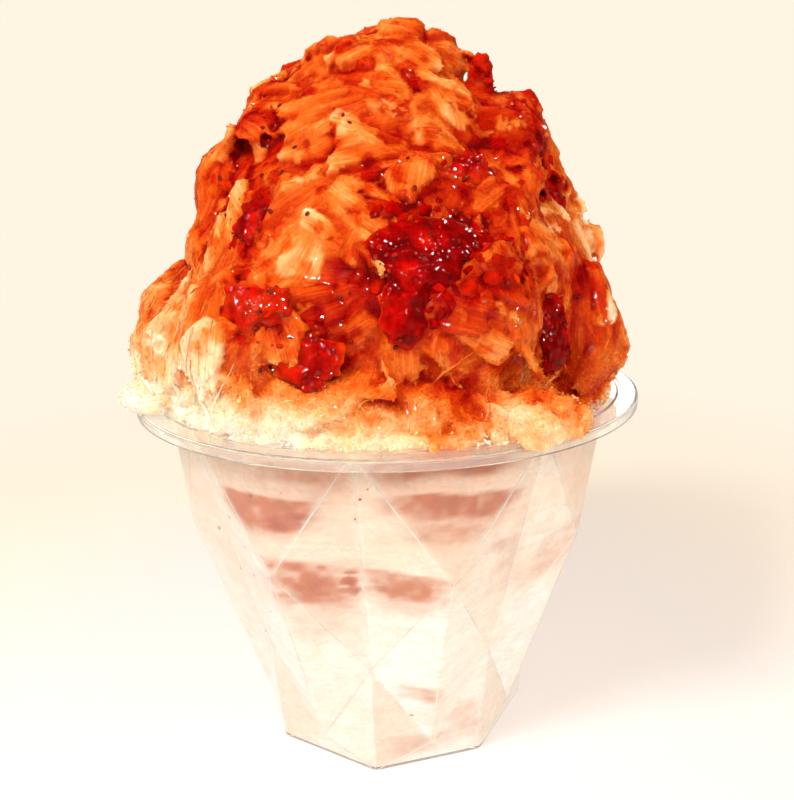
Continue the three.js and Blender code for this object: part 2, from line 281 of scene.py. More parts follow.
# Where the syrup ran: a place on the skin of the heap in mm, its reach in mm, and its tint.
SYRUP_ZONES = [
    ("left skirt", (-34, -22, 89), 13, 0.30),
    ("skirt, inner side", (-27, -35, 87), 6, 0.17),
    ("left skirt foot", (-30, -33, 80), 10, 0.16),
    ("left rim", (-42, -18, 77), 8, 0.02),
    ("rim left of the front", (-31, -34, 74.5), 6, 0.00),
    ("rim front left", (-19, -42, 74.5), 5, 0.02),
    ("rim front", (-7, -45, 74.5), 5, 0.68),
    ("rim front right", (7, -46, 74.5), 4.5, 0.86),
    ("left side", (-41, 6, 86), 12, 0.24),
    ("apron left", (-19, -42, 77), 8, 0.27),
    ("apron", (-3, -44, 76), 8, 0.40),
    ("apron right", (12, -44, 79), 6, 0.62),
    ("apron top", (0, -43, 84), 7, 0.54),
    ("rim clump", (19.5, -46, 76), 6.5, 0.11),
    ("behind the clump", (26, -38, 81), 4.5, 0.56),
    ("rim clump right", (28, -41, 77), 4, 0.44),
    ("right back", (38, -4, 102), 9, 0.16),
    ("right shoulder", (32.5, -12, 107), 5, 0.32),
    ("pale strip", (29, -22, 103.5), 3.5, 0.26),
    ("tower", (38, -22, 87), 8.5, 0.61),
    ("tower top", (34.5, -20, 96), 3.5, 0.68),
    ("tower foot", (38, -23, 77), 5, 0.64),
    ("tower back", (44, -12, 86), 5, 0.42),
    ("knob", (19, -5, 134.5), 3, 0.84),
    ("crevice", (29, -27, 88), 5.5, 1.00),
    ("centre jam", (7, -38, 103), 8.5, 0.93),
    ("drip", (3.5, -41, 95), 4.5, 0.97),
    ("right of the jam", (18, -37, 102), 7, 0.80),
    ("jam on the left", (-22, -25, 108), 4.5, 0.90),
    ("jam low on the left", (-21, -38, 95), 8, 0.80),
    ("low jam", (-13, -41, 88), 8, 0.79),
    ("left ledge", (-30, -13, 113), 9, 0.66),
    ("right edge", (30, -9, 114), 5, 0.88),
    ("upper jam", (14, -23, 115), 5, 0.86),
    ("big fan", (-14, -34, 101), 5.5, 0.34),
    ("petal", (-8, -29, 112), 5, 0.44),
    ("below the jam", (14, -42, 91), 6, 0.68),
    ("right front", (22, -40, 86), 6, 0.62),
    ("top", (0, -14, 130), 13, 0.50),
    ("top flake", (10, -14, 127), 4, 0.47),
    ("right brow", (24, -12, 122), 8, 0.62),
    ("left brow", (-20, -12, 123), 8, 0.62),
    ("back skirt", (0, 44, 84), 15, 0.20),
    ("back right", (31, 30, 83), 13, 0.18),
    ("back left", (-32, 28, 83), 13, 0.20),
    ("jam at the back", (-14, 37, 102), 7, 0.92),
    ("upper back", (2, 28, 116), 12, 0.62),
    ("right side", (43, 9, 86), 10, 0.24),
]
OPEN_TINT = (0.25, 0.66)      # tint where no zone reaches, low on the heap and high on it
OPEN_HEIGHTS = (79, 100)      # mm
OPEN_WEIGHT = 0.12
ZONE_EDGE = 1.6               # how fast a zone ends past its reach
RIM_PALENESS = 0.55           # share of the tint that is gone at the rim, but for the front right
RIM_HEIGHTS = (82, 75.5)      # mm, where this paleness starts and where it is full
RIM_RIGHT = (20, 2)           # mm to the right, where it starts and where it is full
# How the edges of the syrup wander: the size of the bends and their reach, in mm.
BLOTCH_SIZE, BLOTCH_REACH = 7.0, 1.6


def blotches(p):
    return value_noise(p, BLOTCH_SIZE, 3) * BLOTCH_REACH


def rim_wash(p):
    """Share of the rim's paleness at points in mm: the syrup stops short of it, but for the right."""
    blotch = blotches(p)
    return smoothstep(*RIM_HEIGHTS, p[:, 2] + blotch) * smoothstep(*RIM_RIGHT, p[:, 0] + 2 * blotch)


def syrup_tint(points):
    """Tint at points in metres."""
    p = np.asarray(points) / MM
    blotch = blotches(p)
    low, high = OPEN_TINT
    total = OPEN_WEIGHT * (low + (high - low) * smoothstep(*OPEN_HEIGHTS, p[:, 2] + blotch * 2))
    weights = np.full(len(p), OPEN_WEIGHT)
    for _, place, reach, tint in SYRUP_ZONES:
        gap = np.maximum(gap_to(p, place) + blotch, 0)
        weight = np.exp(-(gap / reach) ** 2 * ZONE_EDGE)
        total += weight * tint
        weights += weight
    tint = total / weights
    tint += 0.09 * value_noise(p, 4.5, 4) + 0.05 * value_noise(p, 1.9, 5)
    return tint * (1 - RIM_PALENESS * rim_wash(p))


def tint_color(tint):
    stops = [stop for stop, _ in TINT_RAMP]
    colors = np.array([linear(*color) for _, color in TINT_RAMP])
    t = np.clip(tint, 0, 1)
    return np.stack([np.interp(t, stops, colors[:, k]) for k in range(3)], axis=1)


# ------------------------------------------------------------------ material nodes

def feed(tree, socket, value):
    """Gives a socket a link from another node, or a constant."""
    if isinstance(value, bpy.types.NodeSocket):
        tree.links.new(value, socket)
    elif np.ndim(value) and len(socket.default_value) == 4:
        socket.default_value = (*value, 1)
    else:
        socket.default_value = value


def node(tree, kind, inputs, **settings):
    made = tree.nodes.new("ShaderNode" + kind)
    for key, value in settings.items():
        setattr(made, key, value)
    for socket, value in inputs.items():
        feed(tree, made.inputs[socket], value)
    return made


def noise(tree, vector, scale, detail=3.0, roughness=0.55):
    inputs = {"Vector": vector, "Scale": scale, "Detail": detail, "Roughness": roughness}
    return node(tree, "TexNoise", inputs).outputs["Fac"]


def spread(tree, value, to, over=(0.0, 1.0)):
    """A value that runs over one range, spread to another."""
    inputs = {"Value": value, "From Min": over[0], "From Max": over[1], "To Min": to[0], "To Max": to[1]}
    return node(tree, "MapRange", inputs).outputs["Result"]


def bump(tree, height, distance, strength=1.0, under=None):
    inputs = {"Height": height, "Distance": distance, "Strength": strength}
    if under is not None:
        inputs["Normal"] = under
    return node(tree, "Bump", inputs).outputs["Normal"]


def attribute(tree, name, output):
    return node(tree, "Attribute", {}, attribute_name=name).outputs[output]


def scaled(tree, color, factor):
    return node(tree, "VectorMath", {0: color, "Scale": factor}, operation="SCALE").outputs["Vector"]


def combined(tree, operation, first, second):
    return node(tree, "Math", {0: first, 1: second}, operation=operation).outputs["Value"]


def mixed(tree, share, first, second, blend="MIX"):
    inputs = {0: share, 6: first, 7: second}
    return node(tree, "Mix", inputs, data_type="RGBA", blend_type=blend).outputs[2]


def new_material(name):
    """A material, its nodes, and the socket with the place on the object."""
    material = bpy.data.materials.new(name)
    material.use_nodes = True
    tree = material.node_tree
    return material, tree, node(tree, "TexCoord", {}).outputs["Object"]


def dressed(material, looks):
    """The material with its shader's sockets filled."""
    tree = material.node_tree
    for name, value in looks.items():
        feed(tree, tree.nodes["Principled BSDF"].inputs[name], value)
    return material


# ------------------------------------------------------------------ materials

# Scales are a count of bumps for each metre.
NOISE_CORE = (0.36, 0.64)     # the range that a noise mostly keeps to
NOISE_BODY = (0.35, 0.65)

PALE_STREAK = linear(254, 208, 142)
STREAK_SHARE = 0.9
SPECKLE_SHARE = 0.24     # of the pale tone in the single crystals that stand out
SOAKED_PAINTED_GLOW = 0.09       # painted glow: emission that lifts the shade of pale soaked ice, in place of the light it lets through
ICE_IOR = 1.33
STREAK_SCALE = 900.0
GRIT_SCALE = 1300.0
PATCH_SCALE = 230.0


def soaked_ice_material(name, grain, subsurface, depth, coat, relief):
    """Wet ice in its painted tint, with fine streaks along the grain, and a painted glow where it is pale.
    """
    material, tree, place = new_material(name)
    tint = attribute(tree, "tint", "Color")
    if grain:
        streaks = noise(tree, attribute(tree, "grain", "Vector"), 1.0, 4.0, 0.65)
    else:
        streaks = noise(tree, place, STREAK_SCALE, 4.0, 0.65)
    grit = noise(tree, place, GRIT_SCALE)
    patches = noise(tree, place, PATCH_SCALE, 2.0)
    shaded = scaled(tree, tint, spread(tree, streaks, (0.78, 1.15), NOISE_CORE))
    shaded = scaled(tree, shaded, spread(tree, grit, (0.92, 1.08), NOISE_CORE))
    # Pale streaks in patches and pale single crystals, most where the ice is pale itself.
    green = node(tree, "SeparateColor", {0: tint}).outputs["Green"]
    paleness = spread(tree, green, (0.0, 0.48), (0.02, 0.24))
    streaky = combined(tree, "MULTIPLY", spread(tree, streaks, (0, STREAK_SHARE), (0.54, 0.66)),
                       spread(tree, patches, (0.15, 1), (0.38, 0.54)))
    speckle = spread(tree, grit, (0, SPECKLE_SHARE), (0.56, 0.66))
    share = combined(tree, "MULTIPLY", combined(tree, "MAXIMUM", streaky, speckle), paleness)
    color = mixed(tree, share, shaded, PALE_STREAK)
    normal = bump(tree, streaks, 0.30 * MM * relief, 0.8)
    normal = bump(tree, grit, 0.12 * MM * relief, 0.7, normal)
    return dressed(material, {
        "Base Color": color,
        # The emission is a painted glow on the pale ice.
        "Emission Color": color,
        "Emission Strength": spread(tree, green, (0, SOAKED_PAINTED_GLOW), (0.20, 0.75)),
        "Roughness": spread(tree, grit, (0.16, 0.42), NOISE_BODY),
        "Normal": normal,
        "IOR": ICE_IOR,
        "Subsurface Weight": subsurface,
        "Subsurface Radius": (1.0, 0.38, 0.16),
        "Subsurface Scale": depth,
        "Coat Weight": coat,
        "Coat Roughness": 0.08,
        "Specular IOR Level": 0.06,
    })


def jam_material():
    material, tree, place = new_material("strawberry_jam")
    pulp = noise(tree, place, 520.0, 2.0, 0.5)
    ripple = noise(tree, place, 900.0, 1.0, 0.4)
    shade = spread(tree, pulp, (0.6, 1.5), (0.3, 0.7))
    normal = bump(tree, ripple, 0.12 * MM, 1.0, bump(tree, pulp, 0.16 * MM))
    return dressed(material, {
        "Base Color": scaled(tree, attribute(tree, "tint", "Color"), shade),
        "Normal": normal,
        "Coat Normal": normal,
        "Roughness": spread(tree, pulp, (0.05, 0.16)),
        "IOR": 1.42,
        "Subsurface Weight": 0.35,
        "Subsurface Radius": (1.0, 0.16, 0.1),
        "Subsurface Scale": 1.6 * MM,
        "Coat Weight": 0.08,
        "Coat Roughness": 0.05,
        "Specular IOR Level": 0.05,
    })


def seed_material():
    material, tree, place = new_material("strawberry_seed")
    mottle = noise(tree, place, 900.0)
    return dressed(material, {
        "Base Color": mixed(tree, mottle, linear(84, 10, 7), linear(146, 28, 10)),
        "Roughness": spread(tree, mottle, (0.15, 0.4)),
        "Coat Weight": 0.3,
        "Coat Roughness": 0.05,
        "Specular IOR Level": 0.2,
    })


def plastic_material():
    material, tree, place = new_material("clear_plastic")
    ripple = noise(tree, place, 160.0, 2.0)
    haze = noise(tree, place, 420.0)
    return dressed(material, {
        "Base Color": (1, 0.997, 0.985),
        "Normal": bump(tree, ripple, 0.05 * MM, 0.5),
        "Roughness": spread(tree, haze, (0.005, 0.05)),
        "Transmission Weight": 0.9,
        "Specular IOR Level": 0.5,
        "IOR": 1.26,
        "Coat Weight": 0.4,
        "Coat Roughness": 0.03,
    })


VEIN_TONE = linear(252, 244, 238)
VEIN_SQUASH = (1, 1, 3.2)     # veins lie more level than upright
ICE_PAINTED_GLOW = 0.01               # painted glow: a faint emission on the packed ice, in place of the light it lets through from behind


def packed_ice_material():
    """Frosty ice that shows through the wall of the cup, with a faint painted glow."""
    material, tree, place = new_material("packed_ice")
    frost = noise(tree, place, 260.0, 5.0, 0.62)
    crystals = noise(tree, place, 1100.0)
    color = scaled(tree, attribute(tree, "tint", "Color"), spread(tree, frost, (0.93, 1.06), NOISE_BODY))
    color = scaled(tree, color, spread(tree, crystals, (0.94, 1.05), NOISE_BODY))
    squashed = node(tree, "Mapping", {"Vector": place, "Scale": VEIN_SQUASH}).outputs["Vector"]
    veins = noise(tree, squashed, 110.0, 5.0, 0.6)
    share = combined(tree, "MULTIPLY", spread(tree, veins, (1, 0), (0.50, 0.54)),
                     spread(tree, veins, (0, 1), (0.46, 0.50)))
    color = mixed(tree, share, color, VEIN_TONE, "MULTIPLY")
    normal = bump(tree, frost, 0.25 * MM, 0.5)
    return dressed(material, {
        "Base Color": color,
        # The emission is a painted glow.
        "Emission Color": color,
        "Emission Strength": ICE_PAINTED_GLOW,
        "Roughness": spread(tree, crystals, (0.35, 0.7)),
        "Normal": bump(tree, crystals, 0.08 * MM, 0.5, normal),
        "IOR": 1.31,
        "Subsurface Weight": 0.25,
        "Subsurface Radius": (1.0, 0.9, 0.8),
        "Subsurface Scale": 1.5 * MM,
    })


FLOOR_NEAR = linear(205, 206, 212)
FLOOR_FAR = linear(218, 211, 197)
SHADOW_WARMTH = linear(255, 233, 216)
FLOOR_CHANGE = (0.085, 0.16)     # m from the middle, where the near colour turns to the far one
FLOOR_FADE = (0.13, 0.30)        # m from the middle, where the floor fades into the background
FLOOR_GLOW = 0.42


def floor_material():
    """Pale floor: one colour round the object, another farther off, and no edge."""
    material, tree, place = new_material("pale_floor")
    length = node(tree, "VectorMath", {0: place}, operation="LENGTH").outputs["Value"]
    return dressed(material, {
        "Base Color": mixed(tree, spread(tree, length, (0, 1), FLOOR_CHANGE), FLOOR_NEAR, FLOOR_FAR),
        "Alpha": spread(tree, length, (1, 0), FLOOR_FADE),
        "Roughness": 0.6,
        "Specular IOR Level": 0.1,
        "Emission Color": SHADOW_WARMTH,
        "Emission Strength": FLOOR_GLOW,
    })


# ------------------------------------------------------------------ cup

# The same rings of corners as the solid's wall, each with its radius and height in mm.
CUP_RINGS = [(29.0, 0.0), (28.5, 5.3), (31.5, 24.6), (42.0, 47.3), (44.5, 72.2)]
SIDES = 8
SIDE_TURN = FULL_TURN / SIDES
FACET_TURN = math.radians(-7.8)
ARC_STEPS = 16
RIM_STEPS = SIDES * ARC_STEPS
SHOULDER = len(CUP_RINGS) - 1     # the last ring, which is round
WALL = 0.7 * MM
FLOOR = 0.9 * MM
BEVEL = 0.32 * MM
CREASE_ANGLE = math.radians(4)
SHARP_ANGLE = math.radians(3.2)
# The lip's radius and height in mm, from the shoulder out over the lip and back in.
LIP_PROFILE = [
    (44.7, 72.7), (45.3, 72.9), (49.6, 72.9), (49.8, 72.7), (49.8, 71.7), (50.15, 71.55),
    (50.5, 71.7), (50.5, 73.1), (50.38, 73.45), (50.0, 73.6), (49.0, 73.6), (47.7, 73.6),
    (47.3, 73.42), (46.8, 73.42), (46.4, 73.6), (44.7, 73.6), (44.1, 73.45), (43.85, 73.0),
]


def around_axis(radius, height, angle):
    return (radius * math.sin(angle), -radius * math.cos(angle), height)


def ring_turn(ring, k):
    """Angle of a corner: every other ring is turned by half a side."""
    return FACET_TURN + SIDE_TURN * (k + (ring % 2) / 2)


def round_ring(bm, radius, height):
    turns = [FACET_TURN + FULL_TURN * step / RIM_STEPS for step in range(RIM_STEPS)]
    return [bm.verts.new(around_axis(radius, height, turn)) for turn in turns]


def joined_rings(bm, low, high):
    for k in range(RIM_STEPS):
        after = (k + 1) % RIM_STEPS
        bm.faces.new((low[k], low[after], high[after], high[k]))


def add_diamond_wall(bm, inset, floor, flip):
    """Facets from the foot up to the round shoulder. Returns the shoulder's ring of corners."""
    rings = []
    for index, (radius, height) in enumerate(CUP_RINGS[:SHOULDER]):
        turns = [ring_turn(index, k) for k in range(SIDES)]
        z = max(height * MM, floor)
        rings.append([bm.verts.new(around_axis(radius * MM - inset, z, turn)) for turn in turns])
    radius, height = CUP_RINGS[SHOULDER]
    shoulder = round_ring(bm, radius * MM - inset, height * MM)

    def corner(ring, k):
        if ring == SHOULDER:
            return shoulder[(k * ARC_STEPS) % RIM_STEPS]
        return rings[ring][k % SIDES]

    def face(*corners):
        bm.faces.new(corners[::-1] if flip else corners)

    for ring in range(SHOULDER - 1):
        for k in range(SIDES):
            left = corner(ring + 1, k - 1 + (ring % 2))
            right = corner(ring + 1, k + (ring % 2))
            face(corner(ring, k), right, corner(ring + 2, k))
            face(corner(ring, k), corner(ring + 2, k), left)
    face(*rings[0][::-1])
    for k in range(SIDES):
        face(corner(0, k), corner(0, k + 1), corner(1, k))
        arc = [shoulder[step % RIM_STEPS] for step in range(k * ARC_STEPS, (k + 1) * ARC_STEPS + 1)]
        face(corner(SHOULDER - 1, k), *arc[::-1])
    return shoulder


def make_cup(material):
    bm = bmesh.new()
    ring = add_diamond_wall(bm, 0, 0, False)
    creases = [e for e in bm.edges if len(e.link_faces) == 2]
    for radius, height in LIP_PROFILE:
        outer, ring = ring, round_ring(bm, radius * MM, height * MM)
        joined_rings(bm, outer, ring)
    joined_rings(bm, ring, add_diamond_wall(bm, WALL, FLOOR, True))
    bm.normal_update()
    creases = [e for e in creases if e.is_valid and e.calc_face_angle(0) > CREASE_ANGLE]
    bmesh.ops.bevel(bm, geom=creases, offset=BEVEL, segments=2, profile=0.5, affect="EDGES",
                    clamp_overlap=False)
    bmesh.ops.triangulate(bm, faces=bm.faces[:], quad_method="BEAUTY", ngon_method="BEAUTY")
    bmesh.ops.recalc_face_normals(bm, faces=bm.faces[:])
    mesh = bpy.data.meshes.new("clear_cup")
    bm.to_mesh(mesh)
    bm.free()
    shade_smooth(mesh)
    mesh.set_sharp_from_angle(angle=SHARP_ANGLE)
    return add_piece(linked("clear_cup", mesh), material, "clear_plastic", "cup")


# ------------------------------------------------------------------ fill

LAYERS = [  # name, top height in mm, the node it stands for, the record's slot
    ("packed_ice_bottom", 42, "ice_bottom", "ice"),
    ("packed_syrup_lower", 50.5, "syrup_band_lower", "syrup_ice"),
    ("packed_ice_middle", 56, "ice_middle", "ice"),
    ("packed_syrup_upper", 63.5, "syrup_band_upper", "syrup_ice"),
    ("packed_ice_mouth", 74.1, "ice_heap", "soaked_ice"),
]
TOP_LAYER = len(LAYERS) - 1
LAYER_WAVE = 1.6
LAYER_SWELL = (9, 11)
LAYER_TILT = 23
FILL_STEP = 0.5 * MM
FILL_SPOKES = 450
FILL_RELIEF = 0.30 * MM
FILL_CREASE = math.radians(40)
WALL_REACH = 0.12 * MM       # how far the fill reaches into the wall
TUCK = 0.2 * MM              # how far a layer's rims reach in behind its neighbours
MOUTH_TOP = 73.3 * MM
WALL_TOP = 73.2 * MM         # the highest place where a ray still meets the wall
CAP_SHARES = (0.66, 0.33)    # radii of the rings inside a layer's top and bottom

CLEAN_ICE = linear(255, 254, 251)
PINK_ICE = linear(250, 226, 206)
WASHED_ICE = linear(202, 120, 70)
SYRUP_ICE = linear(172, 68, 20)
# Painted highlight along the wall's creases, in place of the light that the bevels of the plastic catch.
CREASE_HIGHLIGHT_COLOR = linear(255, 252, 244)
CREASE_HIGHLIGHT_HALF_WIDTH = 0.7            # mm, half width of the painted highlight line behind a crease
CREASE_HIGHLIGHT_SHARE = 0.3
CREASE_DEPTH = 0.34          # mm under the outside of the wall
CREASE_WIDTH = 0.34          # mm
CREASE_THIN = 0.02           # mm, half the thickness of a crease's strip
CREASE_STEPS = 12

# Washes of syrup behind the wall: the angle from the front in degrees, the height in mm, their half
# sizes, how strong they are, and how many mm they climb for each degree.
WALL_WASHES = [
    ("lower band left", -21, 45.9, 11, 5.4, 0.62, 0.0),
    ("lower band core", -11, 46.8, 5, 3.2, 1.0, 0.0),
    ("lower band right", 3, 46.3, 13, 3.8, 0.50, -0.08),
    ("below the band right", 4, 43.0, 11, 3.0, 0.20, -0.05),
    ("upper left wedge", -30, 59.9, 12, 3.3, 0.64, 0.04),
    ("upper left core", -26, 58.7, 6, 1.8, 0.98, 0.06),
    ("cloud on the left", -21, 67.8, 11, 3.0, 0.30, 0.0),
    ("upper right band", 14, 62.4, 15, 2.5, 0.56, -0.10),
    ("streaks under it", 13, 57.6, 10, 1.9, 0.30, -0.05),
    ("under the lip", 12, 70.2, 18, 2.6, 0.55, -0.03),
    ("neck", -8, 70.0, 60, 2.4, 0.12, 0.0),
    ("pink on the left", -21, 36.0, 9, 4.5, 0.14, 0.0),
    ("low patch", 10, 19.2, 8, 2.2, 0.26, -0.10),
    ("foot", 14, 5.6, 16, 2.6, 0.14, 0.0),
    ("foot right", 31, 9.4, 6, 5.0, 0.16, 0.0),
    ("patch at the right", 34, 49.5, 7, 3.5, 0.18, 0.0),
    ("right side", 62, 46.0, 20, 6.0, 0.16, 0.1),
    ("band behind", 150, 45.5, 46, 3.6, 0.60, 0.02),
    ("upper band behind", 168, 60.5, 30, 3.0, 0.58, -0.04),
    ("patch on the right", 96, 58.0, 14, 3.0, 0.52, 0.08),
    ("patch on the left", -110, 60.5, 17, 3.0, 0.56, -0.06),
    ("low patch behind", -160, 22.0, 16, 3.0, 0.28, 0.0),
]


def layer_height(level, x, y):
    """The wavy top of a layer, as in the solids, in mm."""
    swell = np.sin(x / LAYER_SWELL[0] + level) * np.cos(y / LAYER_SWELL[1] - level / 3)
    tilt = np.sin((x + y) / LAYER_TILT + level / 5)
    return level + LAYER_WAVE * (0.6 * swell + 0.4 * tilt)


def wall_radius(tree, angle, height):
    """Radius of the inside of the wall in metres, by a ray from the axis."""
    return tree.ray_cast(Vector((0, 0, height)), Vector(around_axis(1, 0, angle)))[3]


def edge_height(tree, angle, level, share=1.0):
    """Height in metres at which a layer's top meets the wall."""
    reach = wall_radius(tree, angle, level * MM * share) / MM
    x, y, _ = around_axis(reach, 0, angle)
    return float(layer_height(level, x, y)) * MM


def wash_amount(p, angle, streak, fine):
    """How much syrup shows behind the wall at points in mm, from 0 to 1."""
    wobble = value_noise(p * [1, 1, 2.6], 9, 31)
    drift = value_noise(p * [1, 1, 2.6], 22, 32)
    cloud = value_noise(p * [1, 1, 1.7], 4.6, 35)
    amount = np.zeros(len(p))
    for _, turn, height, half_turn, half_height, strength, climb in WALL_WASHES:
        aside = (angle - turn + 180) % 360 - 180
        across = (np.abs(aside) + 5 * wobble + 3 * fine) / half_turn
        upward = (p[:, 2] - height - climb * aside + 0.9 * wobble + 0.6 * drift + 0.3 * fine) / half_height
        fall = np.where(upward > 0, 1 - smoothstep(0.75, 1.05, upward), np.exp(-np.abs(upward) ** 3))
        amount = np.maximum(amount, strength * np.exp(-np.abs(across) ** 4) * fall)
    crystals = value_noise(p, 1.5, 36)
    veil = 0.40 * smoothstep(26, 60, p[:, 2]) + 0.35 * drift + 0.3 * streak + 0.2 * cloud
    return np.clip(amount * (1.0 + 0.30 * streak + 0.30 * cloud + 0.34 * crystals), 0, 1), veil


def wash_tint(points):
    """Colour of the packed ice from where it lies round the cup."""
    p = points / MM
    angle = np.degrees(np.arctan2(p[:, 0], -p[:, 1]))
    thin = p * [1, 1, 6]
    fine = value_noise(thin, 4.0, 33)
    streak = 0.6 * value_noise(thin, 9.0, 34) + 0.4 * fine
    amount, veil = wash_amount(p, angle, streak, fine)
    color = CLEAN_ICE
    for tone, share in ((PINK_ICE, veil), (WASHED_ICE, amount * 2), (SYRUP_ICE, amount * 2 - 1)):
        color = color + (tone - color) * np.clip(share, 0, 1)[:, None]
    return color


# Painted shade and reflection: how a facet of the wall darkens and tints what lies behind it, for the light
# it mirrors and bends: its place in the pattern, and its painted shade.
FACET_PAINTED_SHADES = {
    "under lip": (0.90, 0.76, 0.68),
    "kite left": (0.955, 0.865, 0.80),
    "kite right": (0.99, 0.955, 0.915),
    "lower left": (1.0, 1.0, 1.0),
    "lower right": (0.985, 0.94, 0.895),
    "foot left": (0.99, 0.96, 0.935),
    "foot right": (0.91, 0.82, 0.75),
    "heel": (0.985, 0.96, 0.94),
}
FACET_ROWS = ("foot", "lower", "kite")
FACET_SPREAD = 0.015


def ring_corner(ring, k):
    radius, height = CUP_RINGS[ring]
    return Vector(around_axis(radius, height, ring_turn(ring, k)))


def facet_pattern():
    """The wall's facets as triangles with a painted shade each, and its creases as pairs of points, in mm.
    """
    corners, faces, facet_shades, creases = [], [], [], []
    random = np.random.default_rng(5)

    def add(kind, *points):
        first = len(corners)
        corners.extend(points)
        faces.append(tuple(range(first, first + len(points))))
        facet_shades.append(np.array(FACET_PAINTED_SHADES[kind]) * (1 + random.normal(0, FACET_SPREAD)))

    for ring, row in enumerate(FACET_ROWS):
        for k in range(SIDES):
            left = ring_corner(ring + 1, k - 1 + (ring % 2))
            right = ring_corner(ring + 1, k + (ring % 2))
            lower, upper = ring_corner(ring, k), ring_corner(ring + 2, k)
            add(row + " left", lower, upper, left)
            add(row + " right", lower, right, upper)
            creases += [(lower, left), (lower, right), (lower, upper)]
    radius, height = CUP_RINGS[SHOULDER]
    for k in range(SIDES):
        apex = ring_corner(SHOULDER - 1, k)
        creases += [(apex, ring_corner(SHOULDER, k)), (apex, ring_corner(SHOULDER, k + 1))]
        first = len(facet_shades)
        for step in range(ARC_STEPS):
            turns = [FACET_TURN + SIDE_TURN * (k + (step + i) / ARC_STEPS) for i in (1, 0)]
            add("under lip", apex, *[Vector(around_axis(radius, height, turn)) for turn in turns])
            facet_shades[-1] = facet_shades[first]
        add("heel", ring_corner(0, k), ring_corner(0, k + 1), ring_corner(1, k))
    return corners, faces, np.array(facet_shades), creases


def crease_gap(points, creases):
    """Distance in mm from each point to the nearest crease."""
    nearest = np.inf
    for start, end in creases:
        a, b = np.array(start), np.array(end)
        share = np.clip((points - a) @ (b - a) / np.sum((b - a) ** 2), 0, 1)
        gap = np.linalg.norm(points - a - share[:, None] * (b - a), axis=1)
        nearest = np.minimum(nearest, gap)
    return nearest


def fill_color(points):
    """Washed ice, with the painted shade and reflection of the facet in front of it, and a painted highlight
    line along the creases.
    """
    corners, faces, facet_shades, creases = facet_pattern()
    tree = BVHTree.FromPolygons(corners, faces)
    p = points / MM
    number = [tree.find_nearest(Vector(point))[2] for point in p]
    line = np.exp(-(crease_gap(p, creases) / CREASE_HIGHLIGHT_HALF_WIDTH) ** 4)
    # Each facet's painted shade and reflection, then the creases' painted highlight.
    color = wash_tint(points) * facet_shades[number]
    return color + (CREASE_HIGHLIGHT_COLOR - color) * (CREASE_HIGHLIGHT_SHARE * line)[:, None]


def make_crease_highlights(material):
    """A painted highlight along each crease: a thin pale strip inside the wall, in place of the light that
    the bevelled plastic catches there.
    """
    strips = []
    share = np.linspace(0, 1, CREASE_STEPS)[:, None]
    half = CREASE_WIDTH / 2 * np.sin(math.pi * (0.08 + 0.84 * share)) * MM
    for start, end in facet_pattern()[3]:
        a, b = np.array(start), np.array(end)
        line = a + share * (b - a)
        out = line * [1, 1, 0]
        out /= np.linalg.norm(out, axis=1)[:, None]
        side = np.cross(out, (b - a) / np.linalg.norm(b - a))
        line = (line - out * CREASE_DEPTH) * MM
        thin = out * (CREASE_THIN * MM)
        strips.append([np.stack([line - side * half + thin * sign, line + side * half + thin * sign], axis=1)
                       for sign in (1, -1)])
    obj = join_copies("wall_crease_highlights", np.array(strips), plate_faces(CREASE_STEPS, 2))
    # The strips are coloured as painted highlight.
    set_tint(obj, np.tile(CREASE_HIGHLIGHT_COLOR, (len(obj.data.vertices), 1)))
    return add_piece(obj, material, "clear_plastic", "cup")


def layer_side(index, tree):
    """Rows of points of a layer's side, from its foot to its top, just inside the wall's plastic."""
    top = LAYERS[index][1]
    under = LAYERS[index - 1][1] if index else 0
    rows = max(6, int((top - under) * MM / FILL_STEP))
    points = np.zeros((rows, FILL_SPOKES, 3))
    for k in range(FILL_SPOKES):
        angle = FULL_TURN * k / FILL_SPOKES
        high = edge_height(tree, angle, top, 0.98)
        if index == TOP_LAYER:
            high = min(high, MOUTH_TOP)
        low = edge_height(tree, angle, under) if index else FLOOR - WALL_REACH
        for row in range(rows):
            z = low + (high - low) * np.clip((row - 1) / (rows - 3), 0, 1)
            radius = wall_radius(tree, angle, min(max(z, FLOOR * 1.05), WALL_TOP)) + WALL_REACH
            if row == 0 and index:
                radius, z = radius - 2 * TUCK, z - TUCK
            if row == rows - 1:
                radius, z = radius - 2 * TUCK, z + (TUCK if index < TOP_LAYER else 0)
            points[row, k] = around_axis(radius, z, angle)
    flat = points.reshape(-1, 3)
    grain = value_noise(flat / MM, 1.3, 41) * 0.5 + value_noise(flat / MM, 3.6, 42) * 0.5
    inward = FILL_RELIEF * (0.5 + 0.5 * grain)
    inward = np.where(flat[:, 2] < 2 * MM, 0, inward)
    radius = np.linalg.norm(flat[:, :2], axis=1)
    flat[:, :2] *= ((radius + FILL_RELIEF - inward) / radius)[:, None]
    return points


def layer_caps(index, side):
    """Two smaller rings inside the foot of a layer and two inside its top."""
    caps = []
    for end, level in ((0, LAYERS[index - 1][1]), (-1, LAYERS[index][1])):
        for share in CAP_SHARES:
            ring = side[end].copy()
            ring[:, :2] *= share
            if end and index == TOP_LAYER:
                ring[:, 2] = MOUTH_TOP
            elif end or index:
                ring[:, 2] = layer_height(level, ring[:, 0] / MM, ring[:, 1] / MM) * MM
            caps.append(ring)
    return caps


